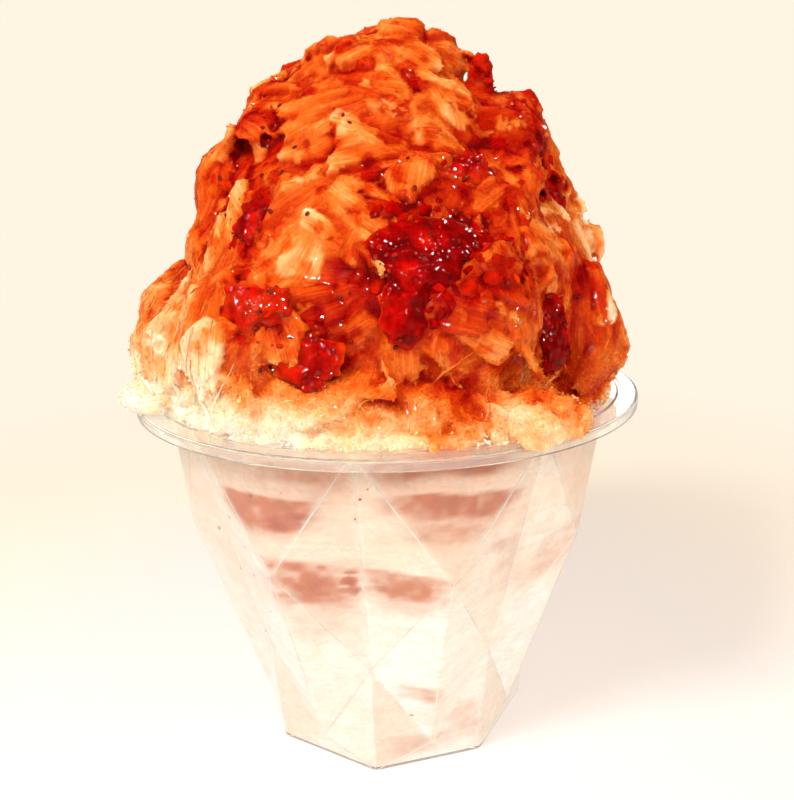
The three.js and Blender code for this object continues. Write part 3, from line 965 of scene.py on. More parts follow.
def layer_faces(rows):
    """Faces of a layer: its side, the rings of its two ends, and the fans in their middles."""
    n = FILL_SPOKES
    foot, top = rows * n, (rows + 2) * n      # where the rings of the two ends start
    strips = [(row * n, (row + 1) * n) for row in range(rows - 1)]
    strips += [(foot, 0), (foot + n, foot), (foot - n, top), (top, top + n)]
    faces = []
    for low, high in strips:
        faces += [(low + k, low + (k + 1) % n, high + (k + 1) % n, high + k) for k in range(n)]
    middle = top + 2 * n
    for k in range(n):
        after = (k + 1) % n
        faces += [(middle, foot + n + after, foot + n + k), (middle + 1, top + n + k, top + n + after)]
    return faces


def make_fill_layer(index, tree, material):
    name, _, node_name, slot = LAYERS[index]
    side = layer_side(index, tree)
    middles = np.array([[0, 0, side[0, 0, 2]], [0, 0, side[-1, -1, 2]]])
    vertices = np.concatenate([side.reshape(-1, 3), *layer_caps(index, side), middles])
    mesh = bpy.data.meshes.new(name)
    mesh.from_pydata(vertices.tolist(), [], layer_faces(len(side)))
    mesh.update()
    shade_smooth(mesh)
    mesh.set_sharp_from_angle(angle=FILL_CREASE)
    obj = linked(name, mesh)
    set_tint(obj, fill_color(vertices))
    return add_piece(obj, material, slot, node_name)


# ------------------------------------------------------------------ grain and places on the skin

CELL = 8.5               # mm, size of the patches of one grain direction
HEAP_MIDDLE = (0, 0, 92)     # mm
ANY_WAY = (0.31, 0.52, 0.79)
DOWN_LEFT = np.array([-0.45, -0.2, -1.0])
DOWN = np.array([0.1, 0.0, -1.0])
HELD_WAY = 1.6           # how firmly the shavings of the skirt and the tower keep to their way


def unit(vectors):
    return vectors / np.linalg.norm(vectors, axis=1)[:, None]


def tangent_frame(normals, toward):
    """Unit vectors along `toward` on the surface, and across it."""
    along = toward - normals * np.sum(toward * normals, axis=1)[:, None]
    length = np.linalg.norm(along, axis=1)[:, None]
    fallback = np.cross(normals, np.array(ANY_WAY))
    along = unit(np.where(length > 0.08, along / np.maximum(length, 1e-9), fallback))
    return along, np.cross(normals, along)


def upward(count):
    return np.tile([0.0, 0.0, 1.0], (count, 1))


def flow(points, number):
    """The way shavings lie: down the left skirt and the tower, and any way elsewhere."""
    p = points / MM
    turn = number * FULL_TURN * 3
    loose = np.stack([np.cos(turn), np.sin(turn) * 0.5, np.sin(turn * 1.7)], axis=1)
    skirt = smoothstep(-12, -26, p[:, 0]) * smoothstep(108, 92, p[:, 2])
    tower = smoothstep(30, 34, p[:, 0]) * smoothstep(110, 98, p[:, 2]) * 0.9
    return (loose * (1 - np.maximum(skirt, tower))[:, None] + skirt[:, None] * DOWN_LEFT * HELD_WAY
            + tower[:, None] * DOWN * HELD_WAY)


def ridges_along(grain):
    return value_noise(grain, 1.0, 52) * 0.6 + value_noise(grain * 2.1, 1.0, 53) * 0.4


def core_relief(points, normals):
    """Height of the ice skin in metres, as overlapping plates with ridges, and their grain."""
    p = points / MM
    nearest, second, number = cell_noise(p, CELL, 51)
    along, across = tangent_frame(normals, flow(points, number))
    lengthwise, sideways = np.sum(p * along, axis=1), np.sum(p * across, axis=1)
    grain = np.stack([lengthwise * 0.22, sideways * 1.5, number * 40], axis=1)
    plates = (number - 0.5) * 1.2 + 0.7 * np.clip((second - nearest) * 2, 0, 1)
    small_gap, small_second, small = cell_noise(p, 3.4, 54)
    crags = (small - 0.5) * 0.9 + 0.5 * np.clip((small_second - small_gap) * 2.5, 0, 1)
    lumps = value_noise(p, 2.2, 55) * 0.35
    height = 0.55 * ridges_along(grain) + 0.55 * plates + 0.55 * crags + lumps
    return height * MM, grain


def scatter(points, count, spacing, random, wanted):
    """Numbers of vertices picked by chance, no two closer than the spacing."""
    order = random.permutation(len(points))
    chance = random.random(len(points))
    taken = {}
    picked = []
    for index in order:
        if chance[index] > wanted[index]:
            continue
        x, y, z = np.floor(points[index] / spacing).astype(int)
        around = [(x + dx, y + dy, z + dz) for dx, dy, dz in product((-1, 0, 1), repeat=3)]
        close = (other for cell in around for other in taken.get(cell, ()))
        if any(np.sum((points[index] - points[other]) ** 2) < spacing * spacing for other in close):
            continue
        taken.setdefault((x, y, z), []).append(index)
        picked.append(index)
        if len(picked) == count:
            break
    return np.array(picked, int)


JAM_TINTS = {"jam_front": 0.96, "jam_right": 0.97, "jam_left": 0.88, "jam_lower_left": 0.82,
             "jam_lower": 0.82, "jam_right_upper": 0.88, "jam_upper": 0.86, "jam_back": 0.94}
# The lobes of the solids' jam pools: the middle and the reach in mm.
JAM_LOBES = [
    ((7, -38, 103), 9.5), ((3, -41, 95.5), 6.5), ((29, -27, 88), 8), ((-22, -25, 108), 5.5),
    ((-21, -38, 95), 8), ((-13, -41, 87), 7), ((30, -7, 112), 6), ((14, -23, 115), 5), ((-14, 37, 102), 8),
]


def off_the_jam(p, margin):
    """1 where no jam pool is within its reach and a margin in mm, 0 elsewhere."""
    near = np.any([gap_to(p, at) < reach + margin for at, reach in JAM_LOBES], axis=0)
    return np.where(near, 0.0, 1.0)


# ------------------------------------------------------------------ flakes

FRAYED = 0.14       # how much the width of a shaving wavers along its sides
TORN = 0.10         # how much its tip does, as a share of its length
FLAKE_ROOT = 0.34   # share of a shaving that lies before its place
# What differs from one shaving to the next by chance.
FLAKE_CHANCE = {"fan": (0.0, 1.0), "lean": (-0.25, 0.25), "folds": (1.2, 3.0), "turn": (0, FULL_TURN),
                "depth": (0.02, 0.08), "bow": (-0.10, 0.16)}
STREWN_SCATTER = 0.7     # how far strewn shavings turn out of the flow
STREWN_CURL = (0.12, 0.26)
STREWN_PATCH = 11 * MM   # size of the patches in which they lie one way
CALM_HEIGHTS = (120, 130)     # mm, between which they come to lie flatter
CALM_SHARE = 0.75        # of the tilt that is gone above
CHOSEN_TILT = (6, 10)    # degrees
CHOSEN_CURL = (0.10, 0.16)
CHOSEN_RISE = 0.7        # mm


def flake_frames(places, normals, directions, lengths, widths, tilts, curls, random):
    """What each shaving of a set is like, as arrays with one row a shaving."""
    along, across = tangent_frame(normals, directions)
    flakes = {"place": places, "normal": normals, "along": along, "across": -across,
              "length": lengths, "width": widths, "tilt": tilts, "curl": curls}
    for key, limits in FLAKE_CHANCE.items():
        flakes[key] = random.uniform(*limits, len(places))
    return flakes


def flake_spread(u, fan):
    """Half width of a shaving along its length, as a share of its width."""
    leaf = 0.30 + 0.70 * np.sin(math.pi * (0.14 + 0.58 * np.clip(u, 0, 1)))
    wedge = 0.45 + 0.55 * np.sin(0.5 * math.pi * np.clip(u, 0.001, 1) ** 0.8)
    return 0.5 * (leaf * (1 - fan) + wedge * fan)


def flake_points(flakes, thickness, rows, columns, random):
    """Shavings as arrays: points (flake, side, row, column), u, v and the height of the ridges."""
    count = len(flakes["place"])
    u = np.linspace(0, 1, rows)[None, :, None]
    v = np.linspace(-1, 1, columns)[None, None, :]
    one = {key: value[:, None, None] for key, value in flakes.items() if value.ndim == 1}
    torn = random.normal(0, 1, (count, 1, columns))
    torn = (0.4 * torn + 0.4 * np.roll(torn, 1, axis=2) + 0.4 * np.roll(torn, 2, axis=2)) * TORN
    ridge = random.normal(0, 1, (count, 1, columns)) * (0.35 + 0.65 * u)
    frayed = random.uniform(1 - FRAYED, 1 + FRAYED, (count, rows, 2))
    side = np.where(v < 0, frayed[:, :, :1], frayed[:, :, 1:])
    x = one["width"] * flake_spread(u, one["fan"]) * v * side + one["lean"] * one["length"] * u * u
    reach = 1 - 0.12 * np.abs(v) ** 4 + torn + one["lean"] * v
    y = one["length"] * (u * reach - FLAKE_ROOT)
    fold = np.sin(one["folds"] * math.pi * v + one["turn"] + u) * (0.3 + 0.7 * u)
    z = -one["curl"] * one["length"] * u * u - one["bow"] * one["width"] * v * v
    z = z + one["depth"] * one["width"] * fold + ridge * 0.07 * MM
    thick = thickness * (1 - 0.42 * u) * (1 - 0.25 * v * v) * (1 + 0.1 * ridge) + 0.05 * MM
    along = y * np.cos(one["tilt"]) - z * np.sin(one["tilt"])
    out = y * np.sin(one["tilt"]) + z * np.cos(one["tilt"])
    shape = (count, rows, columns)
    points = np.empty((count, 2, rows, columns, 3))
    for layer, sign in enumerate((0.5, -0.5)):
        moved = flakes["place"][:, None, None, :]
        for amount, axis in ((x, "across"), (along, "along"), (out + sign * thick, "normal")):
            moved = moved + np.broadcast_to(amount, shape)[..., None] * flakes[axis][:, None, None, :]
        points[:, layer] = moved
    return points, np.broadcast_to(u, shape), np.broadcast_to(v, shape), np.broadcast_to(ridge, shape)


def plate_faces(rows, columns):
    """Faces of one flake: its top, its underside and its edge."""
    faces = []

    def at(side, row, column):
        return (side * rows + row) * columns + column

    for row, column in product(range(rows - 1), range(columns - 1)):
        quad = [(row, column), (row, column + 1), (row + 1, column + 1), (row + 1, column)]
        faces.append([at(0, *corner) for corner in quad])
        faces.append([at(1, *corner) for corner in quad[::-1]])
    border = ([(0, c) for c in range(columns)] + [(r, columns - 1) for r in range(1, rows)]
              + [(rows - 1, c) for c in range(columns - 2, -1, -1)]
              + [(r, 0) for r in range(rows - 2, 0, -1)])
    for here, after in zip(border, border[1:] + border[:1]):
        faces.append([at(0, *after), at(0, *here), at(1, *here), at(1, *after)])
    return np.array(faces)


def soft_normals(points, normals):
    """Normals turned half way towards straight out of the heap."""
    return unit(normals + (points - np.array(HEAP_MIDDLE) * MM) / (60 * MM))


def strewn_flakes(points, normals, strewn, wanted, random):
    """Shavings at chance places of a skin, lying along the flow."""
    picked = scatter(points, strewn["count"], strewn["spacing"] * MM, random, wanted)
    places, n = points[picked], len(picked)
    number = hash_grid(np.floor(places / STREWN_PATCH), 61)
    directions = flow(places, number) + random.normal(0, strewn.get("scatter", STREWN_SCATTER), (n, 3))
    length = random.uniform(*strewn["length"], n) * MM
    width = length * random.uniform(*strewn["aspect"], n)
    tilt = np.radians(random.uniform(*strewn["tilt"], n))
    tilt = tilt * (1 - CALM_SHARE * smoothstep(*CALM_HEIGHTS, places[:, 2] / MM))
    curl = random.uniform(*STREWN_CURL, n)
    out = soft_normals(places, normals[picked])
    places = places + out * strewn["rise"] * MM
    return flake_frames(places, out, directions, length, width, tilt, curl, random)


# Shavings that show one by one: a place on the skin in mm, the way its tip points, its length and
# width in mm, its tint, and how far it opens like a fan.
CHOSEN_FLAKES = [
    ("big fan", (-13.6, -34.4, 101.4), (-0.55, -0.25, -0.80), 18, 16, 0.24, 1.0),
    ("petal", (-3.9, -31.2, 110.8), (0.75, -0.30, -0.60), 16, 12, 0.36, 0.8),
    ("crown petal", (10.0, -14.2, 128.0), (0.35, -0.40, -0.85), 13, 8, 0.42, 0.7),
    ("left of the top", (-9.9, -15.8, 127.3), (-0.90, -0.20, 0.10), 12, 7, 0.55, 0.6),
    ("plate", (21.1, -36.3, 97.5), (0.50, -0.20, -0.85), 15, 7, 0.66, 0.4),
    ("second plate", (17.5, -38.5, 94.0), (0.35, -0.20, -0.90), 14, 7, 0.60, 0.5),
    ("under the jam", (14.0, -40.9, 92.5), (0.75, -0.30, -0.30), 13, 9, 0.42, 0.8),
    ("star", (-3.6, -33.6, 107.0), (-0.30, -0.40, -0.85), 10, 8, 0.54, 0.6),
    ("upper middle", (5.5, -27.5, 116.5), (-0.20, -0.50, -0.85), 12, 8, 0.53, 0.5),
    ("upper right", (21.0, -16.0, 117.5), (0.50, -0.40, -0.80), 11, 10, 0.42, 0.9),
    ("right of the jam", (24.0, -24.0, 108.5), (0.30, -0.40, -0.90), 12, 9, 0.55, 0.6),
    ("left strip", (-24.6, -27.4, 102.1), (-0.25, -0.30, -1.0), 16, 8, 0.52, 0.3),
    ("left low", (-28.4, -34.0, 94.8), (-0.30, -0.40, -0.85), 12, 8, 0.60, 0.5),
    ("left corner", (-30.7, -11.8, 114.4), (-0.10, -0.30, -1.0), 15, 10, 0.64, 0.5),
    ("tower front", (34.8, -21.0, 87.3), (0.05, -0.10, -1.0), 17, 4.2, 0.66, 0.3),
    ("tower side", (39.3, -20.7, 89.0), (0.10, 0.00, -1.0), 15, 4.2, 0.72, 0.3),
    ("tongue", (37.0, -22.5, 78.0), (0.00, -0.10, -1.0), 10, 4, 0.66, 0.2),
    ("tower top", (33.0, -20.5, 97.0), (0.45, 0.10, 0.95), 8, 6, 0.78, 0.2),
    ("tower top right", (38.5, -18.0, 94.0), (0.15, 0.10, 1.0), 8, 5, 0.72, 0.1),
    ("tower edge", (41.5, -18.5, 88.0), (0.35, 0.20, -0.9), 12, 4.5, 0.62, 0.3),
    ("over the jam left", (1.0, -38.5, 105.5), (0.70, -0.30, -0.60), 8, 6, 0.66, 0.9),
    ("over the jam top", (9.0, -35.0, 110.5), (0.10, -0.30, -1.0), 8, 7, 0.56, 0.8),
    ("over the jam right", (19.0, -35.5, 103.0), (-0.60, -0.40, -0.60), 8, 6, 0.62, 0.7),
    ("over the low jam", (-16.0, -40.0, 92.0), (0.30, -0.30, -0.9), 8, 8, 0.46, 0.9),
    ("over the left jam", (-26.0, -34.5, 98.5), (0.60, -0.30, -0.7), 8, 6, 0.56, 0.8),
    ("over the small jam", (-24.5, -24.0, 111.0), (0.30, -0.30, -0.9), 7, 5, 0.55, 0.8),
    ("over the crevice", (25.5, -29.5, 92.0), (0.50, -0.20, -0.8), 9, 6, 0.60, 0.7),
    ("pale back", (38.0, -6.0, 101.0), (0.35, -0.20, -0.90), 14, 10, 0.16, 0.9),
    ("peak", (4.0, -10.0, 136.5), (0.80, -0.20, -0.30), 12, 9, 0.47, 0.6),
    ("pink tip", (-21.5, -1.0, 131.5), (-0.60, -0.10, 0.80), 8, 4, 0.24, 0.0),
    ("over the rim", (21.0, -44.5, 78.5), (0.50, -0.50, -0.70), 10, 8, 0.16, 0.9),
    ("below the middle", (2.0, -40.3, 91.3), (0.05, -0.20, -1.0), 11, 6, 0.60, 0.4),
    ("low middle", (-5.0, -42.0, 86.0), (-0.30, -0.20, -0.90), 12, 8, 0.48, 0.8),
    ("left skirt", (-36.5, -25.0, 90.0), (-0.30, -0.10, -0.95), 19, 12, 0.25, 0.9),
    ("skirt foot", (-30.0, -34.0, 84.0), (-0.20, -0.30, -0.90), 14, 10, 0.31, 0.9),
]
STANDING_FLAKES = ("pink tip",)      # those that don't follow the skin


def chosen_flakes(tree, random):
    _, places, directions, lengths, widths, tints, fans = zip(*CHOSEN_FLAKES)
    found = [tree.find_nearest(Vector(place) * MM) for place in places]
    places = np.array([hit[0] for hit in found])
    out = soft_normals(places, np.array([hit[1] for hit in found]))
    tilts = np.radians(random.uniform(*CHOSEN_TILT, len(places)))
    curls = random.uniform(*CHOSEN_CURL, len(places))
    flakes = flake_frames(places + out * CHOSEN_RISE * MM, out, np.array(directions), np.array(lengths) * MM,
                          np.array(widths) * MM, tilts, curls, random)
    flakes["tint"], flakes["fan"] = np.array(tints), np.array(fans)
    return flakes


def draped(points, tree, limits):
    """Shavings bent to follow the skin: how far they stand over it is kept between two limits."""
    middle = points.mean(axis=1)
    flat = middle.reshape(-1, 3)
    hits = [tree.find_nearest(Vector(point)) for point in flat]
    spots = np.array([hit[0] for hit in hits])
    normals = np.array([hit[1] for hit in hits])
    height = np.sum((flat - spots) * normals, axis=1)
    tipward = np.broadcast_to(np.linspace(0, 1, points.shape[2])[None, :, None], middle.shape[:-1]).ravel()
    low, low_tip, high, high_tip = np.array(limits) * MM
    kept = np.clip(height, low + (low_tip - low) * tipward, high + (high_tip - high) * tipward)
    moved = spots + normals * kept[:, None] - flat
    return points + moved.reshape(middle.shape)[:, None]


# ------------------------------------------------------------------ small bits

def ball(subdivisions):
    """Corners and faces of a sphere of triangles."""
    bm = bmesh.new()
    bmesh.ops.create_icosphere(bm, subdivisions=subdivisions, radius=1)
    vertices = np.array([v.co[:] for v in bm.verts])
    faces = np.array([[v.index for v in f.verts] for f in bm.faces])
    bm.free()
    return vertices, faces


CHIP = ball(1)
LUMP = ball(2)


def scattered_bits(name, shape, places, normals, sizes, roughness, random, smooth=True):
    """Many lumps of a shape, each turned round its normal and a little uneven."""
    vertices, faces = shape
    along, across = tangent_frame(normals, random.normal(0, 1, (len(places), 3)))
    uneven = 1 + random.normal(0, roughness, (len(places), len(vertices), 1))
    local = vertices[None] * sizes[:, None, :] * uneven
    points = (places[:, None] + local[..., 0:1] * across[:, None] + local[..., 1:2] * along[:, None]
              + local[..., 2:3] * normals[:, None])
    return join_copies(name, points, faces, smooth)


def color_bits(obj, colors):
    """Gives each lump of a piece a colour of its own."""
    set_tint(obj, np.repeat(colors, len(obj.data.vertices) // len(colors), axis=0))


# Crumbs that lie along the rim: the middle and spread of their place round the cup in degrees, their
# radius and height in mm from inside to outside, and their number.
RIM_SNOW = [
    ("front left", -45, 28, 41.5, 46.5, 73.6, 76.0, 420),
    ("front", -5, 14, 42.0, 46.0, 73.6, 75.4, 260),
    ("front right", 25, 7, 43.0, 48.0, 73.6, 76.5, 130),
    ("white crust", -80, 9, 43.5, 49.0, 73.6, 76.2, 200),
    ("right", 80, 25, 42.0, 45.5, 73.6, 75.0, 200),
    ("back", 180, 45, 42.0, 46.0, 73.6, 75.4, 420),
]
BANK_SHARE = 0.5
BANK_INWARD = 1.2        # mm
BANK_SIZE = (0.7, 1.7)   # mm, half sizes


def rim_places(random, share=1.0):
    """Chance places along the rim, in metres."""
    spots = []
    for _, turn, spread_turn, near, far, low, high, number in RIM_SNOW:
        number = int(number * share)
        angle = np.radians(random.normal(turn, spread_turn, number))
        outward = random.random(number)
        radius = near + (far - near) * outward
        z = low + (high - low) * random.random(number) * (1 - 0.7 * outward)
        spots.append(np.stack([radius * np.sin(angle), -radius * np.cos(angle), z], axis=1) * MM)
    return np.concatenate(spots)


def snow_bank(random):
    """Lumps of crushed ice from the heap's foot out to the lip, to be fused with the heap."""
    spots = rim_places(random, BANK_SHARE)
    spots = spots - unit(spots * [1, 1, 0]) * BANK_INWARD * MM
    sizes = random.uniform(*BANK_SIZE, (len(spots), 3)) * MM
    return scattered_bits("snow_bank", LUMP, spots, upward(len(spots)), sizes, 0.12, random)


# ------------------------------------------------------------------ heap

CORE_VOXEL = 0.9 * MM
HEAP_VOXEL = 0.53 * MM
HEAP_CUT = 72.6 * MM      # the packed ice in the mouth of the cup stands for what is lower
HEAP_TRIANGLES = 192000
FUSED_THICKNESS = 0.95 * MM
FUSED_GRID = (7, 12)      # rows and columns of a pressed shaving
FUSED_REACH = 1.6 * MM    # how near a shaving's plate the skin counts as part of it
CRUMBLED_TOP = (87, 80)       # mm, where the skin turns to crumbled ice towards the rim
CRUMBLED_SIDE = (-30, -20)    # mm to the right, where it does so past the left skirt
RELIEF_FOOT = (73.8, 76.5)    # mm, where the relief begins above the cup
# How far over the skin, in mm, the middle of a pressed shaving lies: at least at its root and at its
# tip, and at most at its root and at its tip.
DRAPE = (-0.40, 0.0, 0.45, 1.4)
FLAKE_VARIETY = 0.42     # spread of tint from one pressed shaving to the next
PALEST_FLAKE = 0.17
JAM_TINT = 0.7           # above this tint a shaving stays about as dark as the jam round it
GRANULE_GRAIN = 2.4      # fineness of the crumbled ice near the rim, each mm
# Syrup gathers in crevices, and the deeper tint there is partly painted shade, the paler proud edges painted
# light:
# rounds of evening out the skin, the tint gained for each mm below it, and the most that counts in mm below
# and above it.
CREVICE_SYRUP_AND_SHADE = [(6, 0.40, 0.35, 0.06), (40, 0.12, 1.6, 0.7)]
KNOB = (19, -5, 134)     # the stub right of the top, in mm, which stays bare
# The shavings that are strewn: how many, their spacing and rise in mm, their length in mm, their
# width as a share of it, and their tilt in degrees.
LARGE = {"count": 250, "spacing": 6.4, "rise": 0.1, "length": (8, 18), "aspect": (0.5, 0.95),
         "tilt": (2, 10)}
MEDIUM = {"count": 380, "spacing": 3.9, "rise": 0.2, "length": (4, 9), "aspect": (0.4, 0.9),
          "tilt": (4, 18)}
SHARDS = {"count": 360, "spacing": 2.6, "rise": 0.2, "length": (2.6, 5.5), "aspect": (0.35, 0.8),
          "tilt": (3, 20), "scatter": 1.2}
# Lumps that make the heap's outline fuller: place and half sizes in mm.
FULLER = [
    (5.0, -2.0, 139.6, 3.4, 3.4, 2.7), (10.6, -1.0, 137.4, 3.6, 3.6, 3.0),
    (13.8, 0.0, 134.8, 2.8, 3.6, 2.9), (25.6, -3.0, 127.6, 3.3, 3.6, 2.3),
    (27.2, -4.0, 122.5, 3.0, 3.6, 3.4), (34.0, -3.0, 110.5, 2.8, 4.2, 3.6),
    (36.0, -2.0, 106.6, 2.9, 4.4, 3.8), (38.6, -2.0, 102.0, 3.0, 4.4, 4.2),
]
# Where the top is pressed down: the place, how far round and how much, in mm.
PRESSED = [((-5.0, -2.0, 142.0), 6.0, 2.0), ((-15.0, -2.0, 140.0), 7.0, 2.6)]


def heap_core(name):
    """The solid of the heap, fuller in places, as one skin."""
    obj = copy_of_node(name, "ice_heap")
    added = np.array(FULLER) * MM
    absorb(obj, scattered_bits("lumps", LUMP, added[:, :3], upward(len(added)), added[:, 3:], 0.06,
                               np.random.default_rng(6)))
    remeshed(obj, CORE_VOXEL, 2)
    points, _ = skin_of(obj)
    for place, reach, depth in PRESSED:
        points[:, 2] -= depth * MM * np.exp(-(gap_to(points / MM, place) / reach) ** 2)
    set_points(obj, points)
    return obj


def clear_places(p):
    """1 where shavings may be strewn: not on the jam, the knob or the middles of the chosen ones."""
    clear = off_the_jam(p, -2.5) * smoothstep(5, 8, gap_to(p, KNOB))
    for _, at, toward, length, width, _, _ in CHOSEN_FLAKES:
        middle = np.array(at) + np.array(toward) * length * (0.5 - FLAKE_ROOT)
        clear = np.where(gap_to(p, middle) < 0.40 * (length + width) / 2, 0.0, clear)
    return clear


def pressed_flakes(points, normals, tree, random):
    """The shavings of the heap as one set, with the chosen ones last."""
    x, _, height = points.T / MM
    clear = clear_places(points / MM)
    lower = smoothstep(129, 123, height)
    left = 1 - 0.8 * smoothstep(26, 31, x)
    foot = smoothstep(74.5, 76, height) * (0.3 + 0.7 * smoothstep(98, 84, height))
    skirt = 1 - 0.8 * smoothstep(-12, -24, x)
    sets = [strewn_flakes(points, normals, strewn, wanted, random) for strewn, wanted in (
        (LARGE, smoothstep(83, 89, height) * clear * lower * left),
        (MEDIUM, smoothstep(78, 85, height) * clear),
        (SHARDS, foot * clear * skirt),
    )]
    for strewn in sets:
        around = syrup_tint(strewn["place"])
        own = around + random.uniform(-0.5, 0.5, len(around)) * FLAKE_VARIETY
        strewn["tint"] = np.maximum(own, np.where(around > JAM_TINT, around - 0.06, PALEST_FLAKE))
    sets.append(chosen_flakes(tree, random))
    return {key: np.concatenate([one[key] for one in sets]) for key in sets[0]}


def skin_with_pools(heap):
    """The heap's skin and the jam pools' as one tree."""
    corners, faces = [], []
    for obj in (heap, *(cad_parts[pool] for pool in JAM_TINTS)):
        first = len(corners)
        place = obj.matrix_world
        corners += [place @ vertex.co for vertex in obj.data.vertices]
        faces += [[first + index for index in face.vertices] for face in obj.data.polygons]
    return BVHTree.FromPolygons(corners, faces)


def pressed_plates(obj, flakes, tree, random):
    """The shavings as thick plates that follow the skin."""
    straight = flake_points(flakes, FUSED_THICKNESS, *FUSED_GRID, random)[0]
    first_chosen = len(straight) - len(CHOSEN_FLAKES)
    over_pools = draped(straight[first_chosen:], skin_with_pools(obj), DRAPE)
    for index, (name, *_) in enumerate(CHOSEN_FLAKES):
        if name in STANDING_FLAKES:
            over_pools[index] = straight[first_chosen + index]
    plates = np.concatenate([draped(straight[:first_chosen], tree, DRAPE), over_pools])
    return join_copies("pressed_shavings", plates, plate_faces(*FUSED_GRID))


def edge_ends(mesh):
    """The two vertices of each edge, as two arrays."""
    return read(mesh.edges, "vertices", 2, np.int32).T


def standing_out(mesh, points, normals, rounds):
    """How far each vertex stands out of the skin evened out round it, in mm: below 0 in a crevice."""
    first, second = edge_ends(mesh)
    degree = np.bincount(first, minlength=len(points)) + np.bincount(second, minlength=len(points))
    even = points
    for _ in range(rounds):
        total = np.stack([np.bincount(first, even[second, k], len(points))
                          + np.bincount(second, even[first, k], len(points)) for k in range(3)], axis=1)
        even = total / np.maximum(degree, 1)[:, None]
    return np.sum((points - even) * normals, axis=1) / MM


def loose_islands(mesh):
    """Numbers of the vertices that don't hang together with the main body."""
    first, second = edge_ends(mesh)
    island, settled = np.arange(len(mesh.vertices)), False
    while not settled:
        low = np.minimum(island[first], island[second])
        lowered = island.copy()
        np.minimum.at(lowered, first, low)
        np.minimum.at(lowered, second, low)
        lowered = lowered[lowered]
        settled = np.array_equal(lowered, island)
        island = lowered
    return np.flatnonzero(island != np.bincount(island).argmax())


def cut_and_thinned(obj, height, triangles):
    """The object without what is below a height, closed there, with at most so many triangles."""
    loose = loose_islands(obj.data)
    bm = bmesh.new()
    bm.from_mesh(obj.data)
    bm.verts.ensure_lookup_table()
    bmesh.ops.delete(bm, geom=[bm.verts[index] for index in loose], context="VERTS")
    everything = bm.verts[:] + bm.edges[:] + bm.faces[:]
    bmesh.ops.bisect_plane(bm, geom=everything, plane_co=(0, 0, height), plane_no=(0, 0, 1),
                           clear_inner=True)
    bmesh.ops.holes_fill(bm, edges=[edge for edge in bm.edges if edge.is_boundary], sides=0)
    bmesh.ops.triangulate(bm, faces=bm.faces[:])
    before = len(bm.faces)
    bm.to_mesh(obj.data)
    bm.free()
    obj.modifiers.new("thin", "DECIMATE").ratio = min(1.0, triangles / before)
    apply_modifiers(obj)


def flake_owners(points, tree, faces_each):
    """Whether each point is part of a shaving, and the number of its shaving, or 0."""
    found = [tree.find_nearest(Vector(point), FUSED_REACH)[2] for point in points]
    owner = np.array([-1 if face is None else face // faces_each for face in found])
    return owner >= 0, np.maximum(owner, 0)


def syrup_patches(p):
    """How much deeper or paler the syrup has run in small patches, as a change of the tint."""
    soft = 0.08 * value_noise(p, 3.4, 62) + 0.04 * value_noise(p, 1.5, 63)
    return soft + smoothstep(0.34, 0.42, value_noise(p, 2.6, 64)) * 0.16


def heap_tint(mesh, points, normals, core_tint, flake_tint, on_flake, crumbled, area):
    """Tint of the skin: the shavings' own, the syrup's run, its crevices (syrup with painted shade in
    hollows, and paler proud edges) and its patches.
    """
    p = points / MM
    tint = np.where(on_flake, flake_tint + (core_tint - flake_tint) * crumbled, core_tint)
    soaked = 0.3 + 0.7 * smoothstep(0.12, 0.45, area)
    # Deeper in hollows, partly syrup and partly painted shade; paler on proud edges, as painted light.
    for rounds, gain, deep, proud in CREVICE_SYRUP_AND_SHADE:
        raised = standing_out(mesh, points, normals, rounds)
        tint = tint - gain * np.clip(raised, -deep, proud) * soaked
    return (tint + syrup_patches(p) * soaked) * (1 - 0.3 * rim_wash(p))


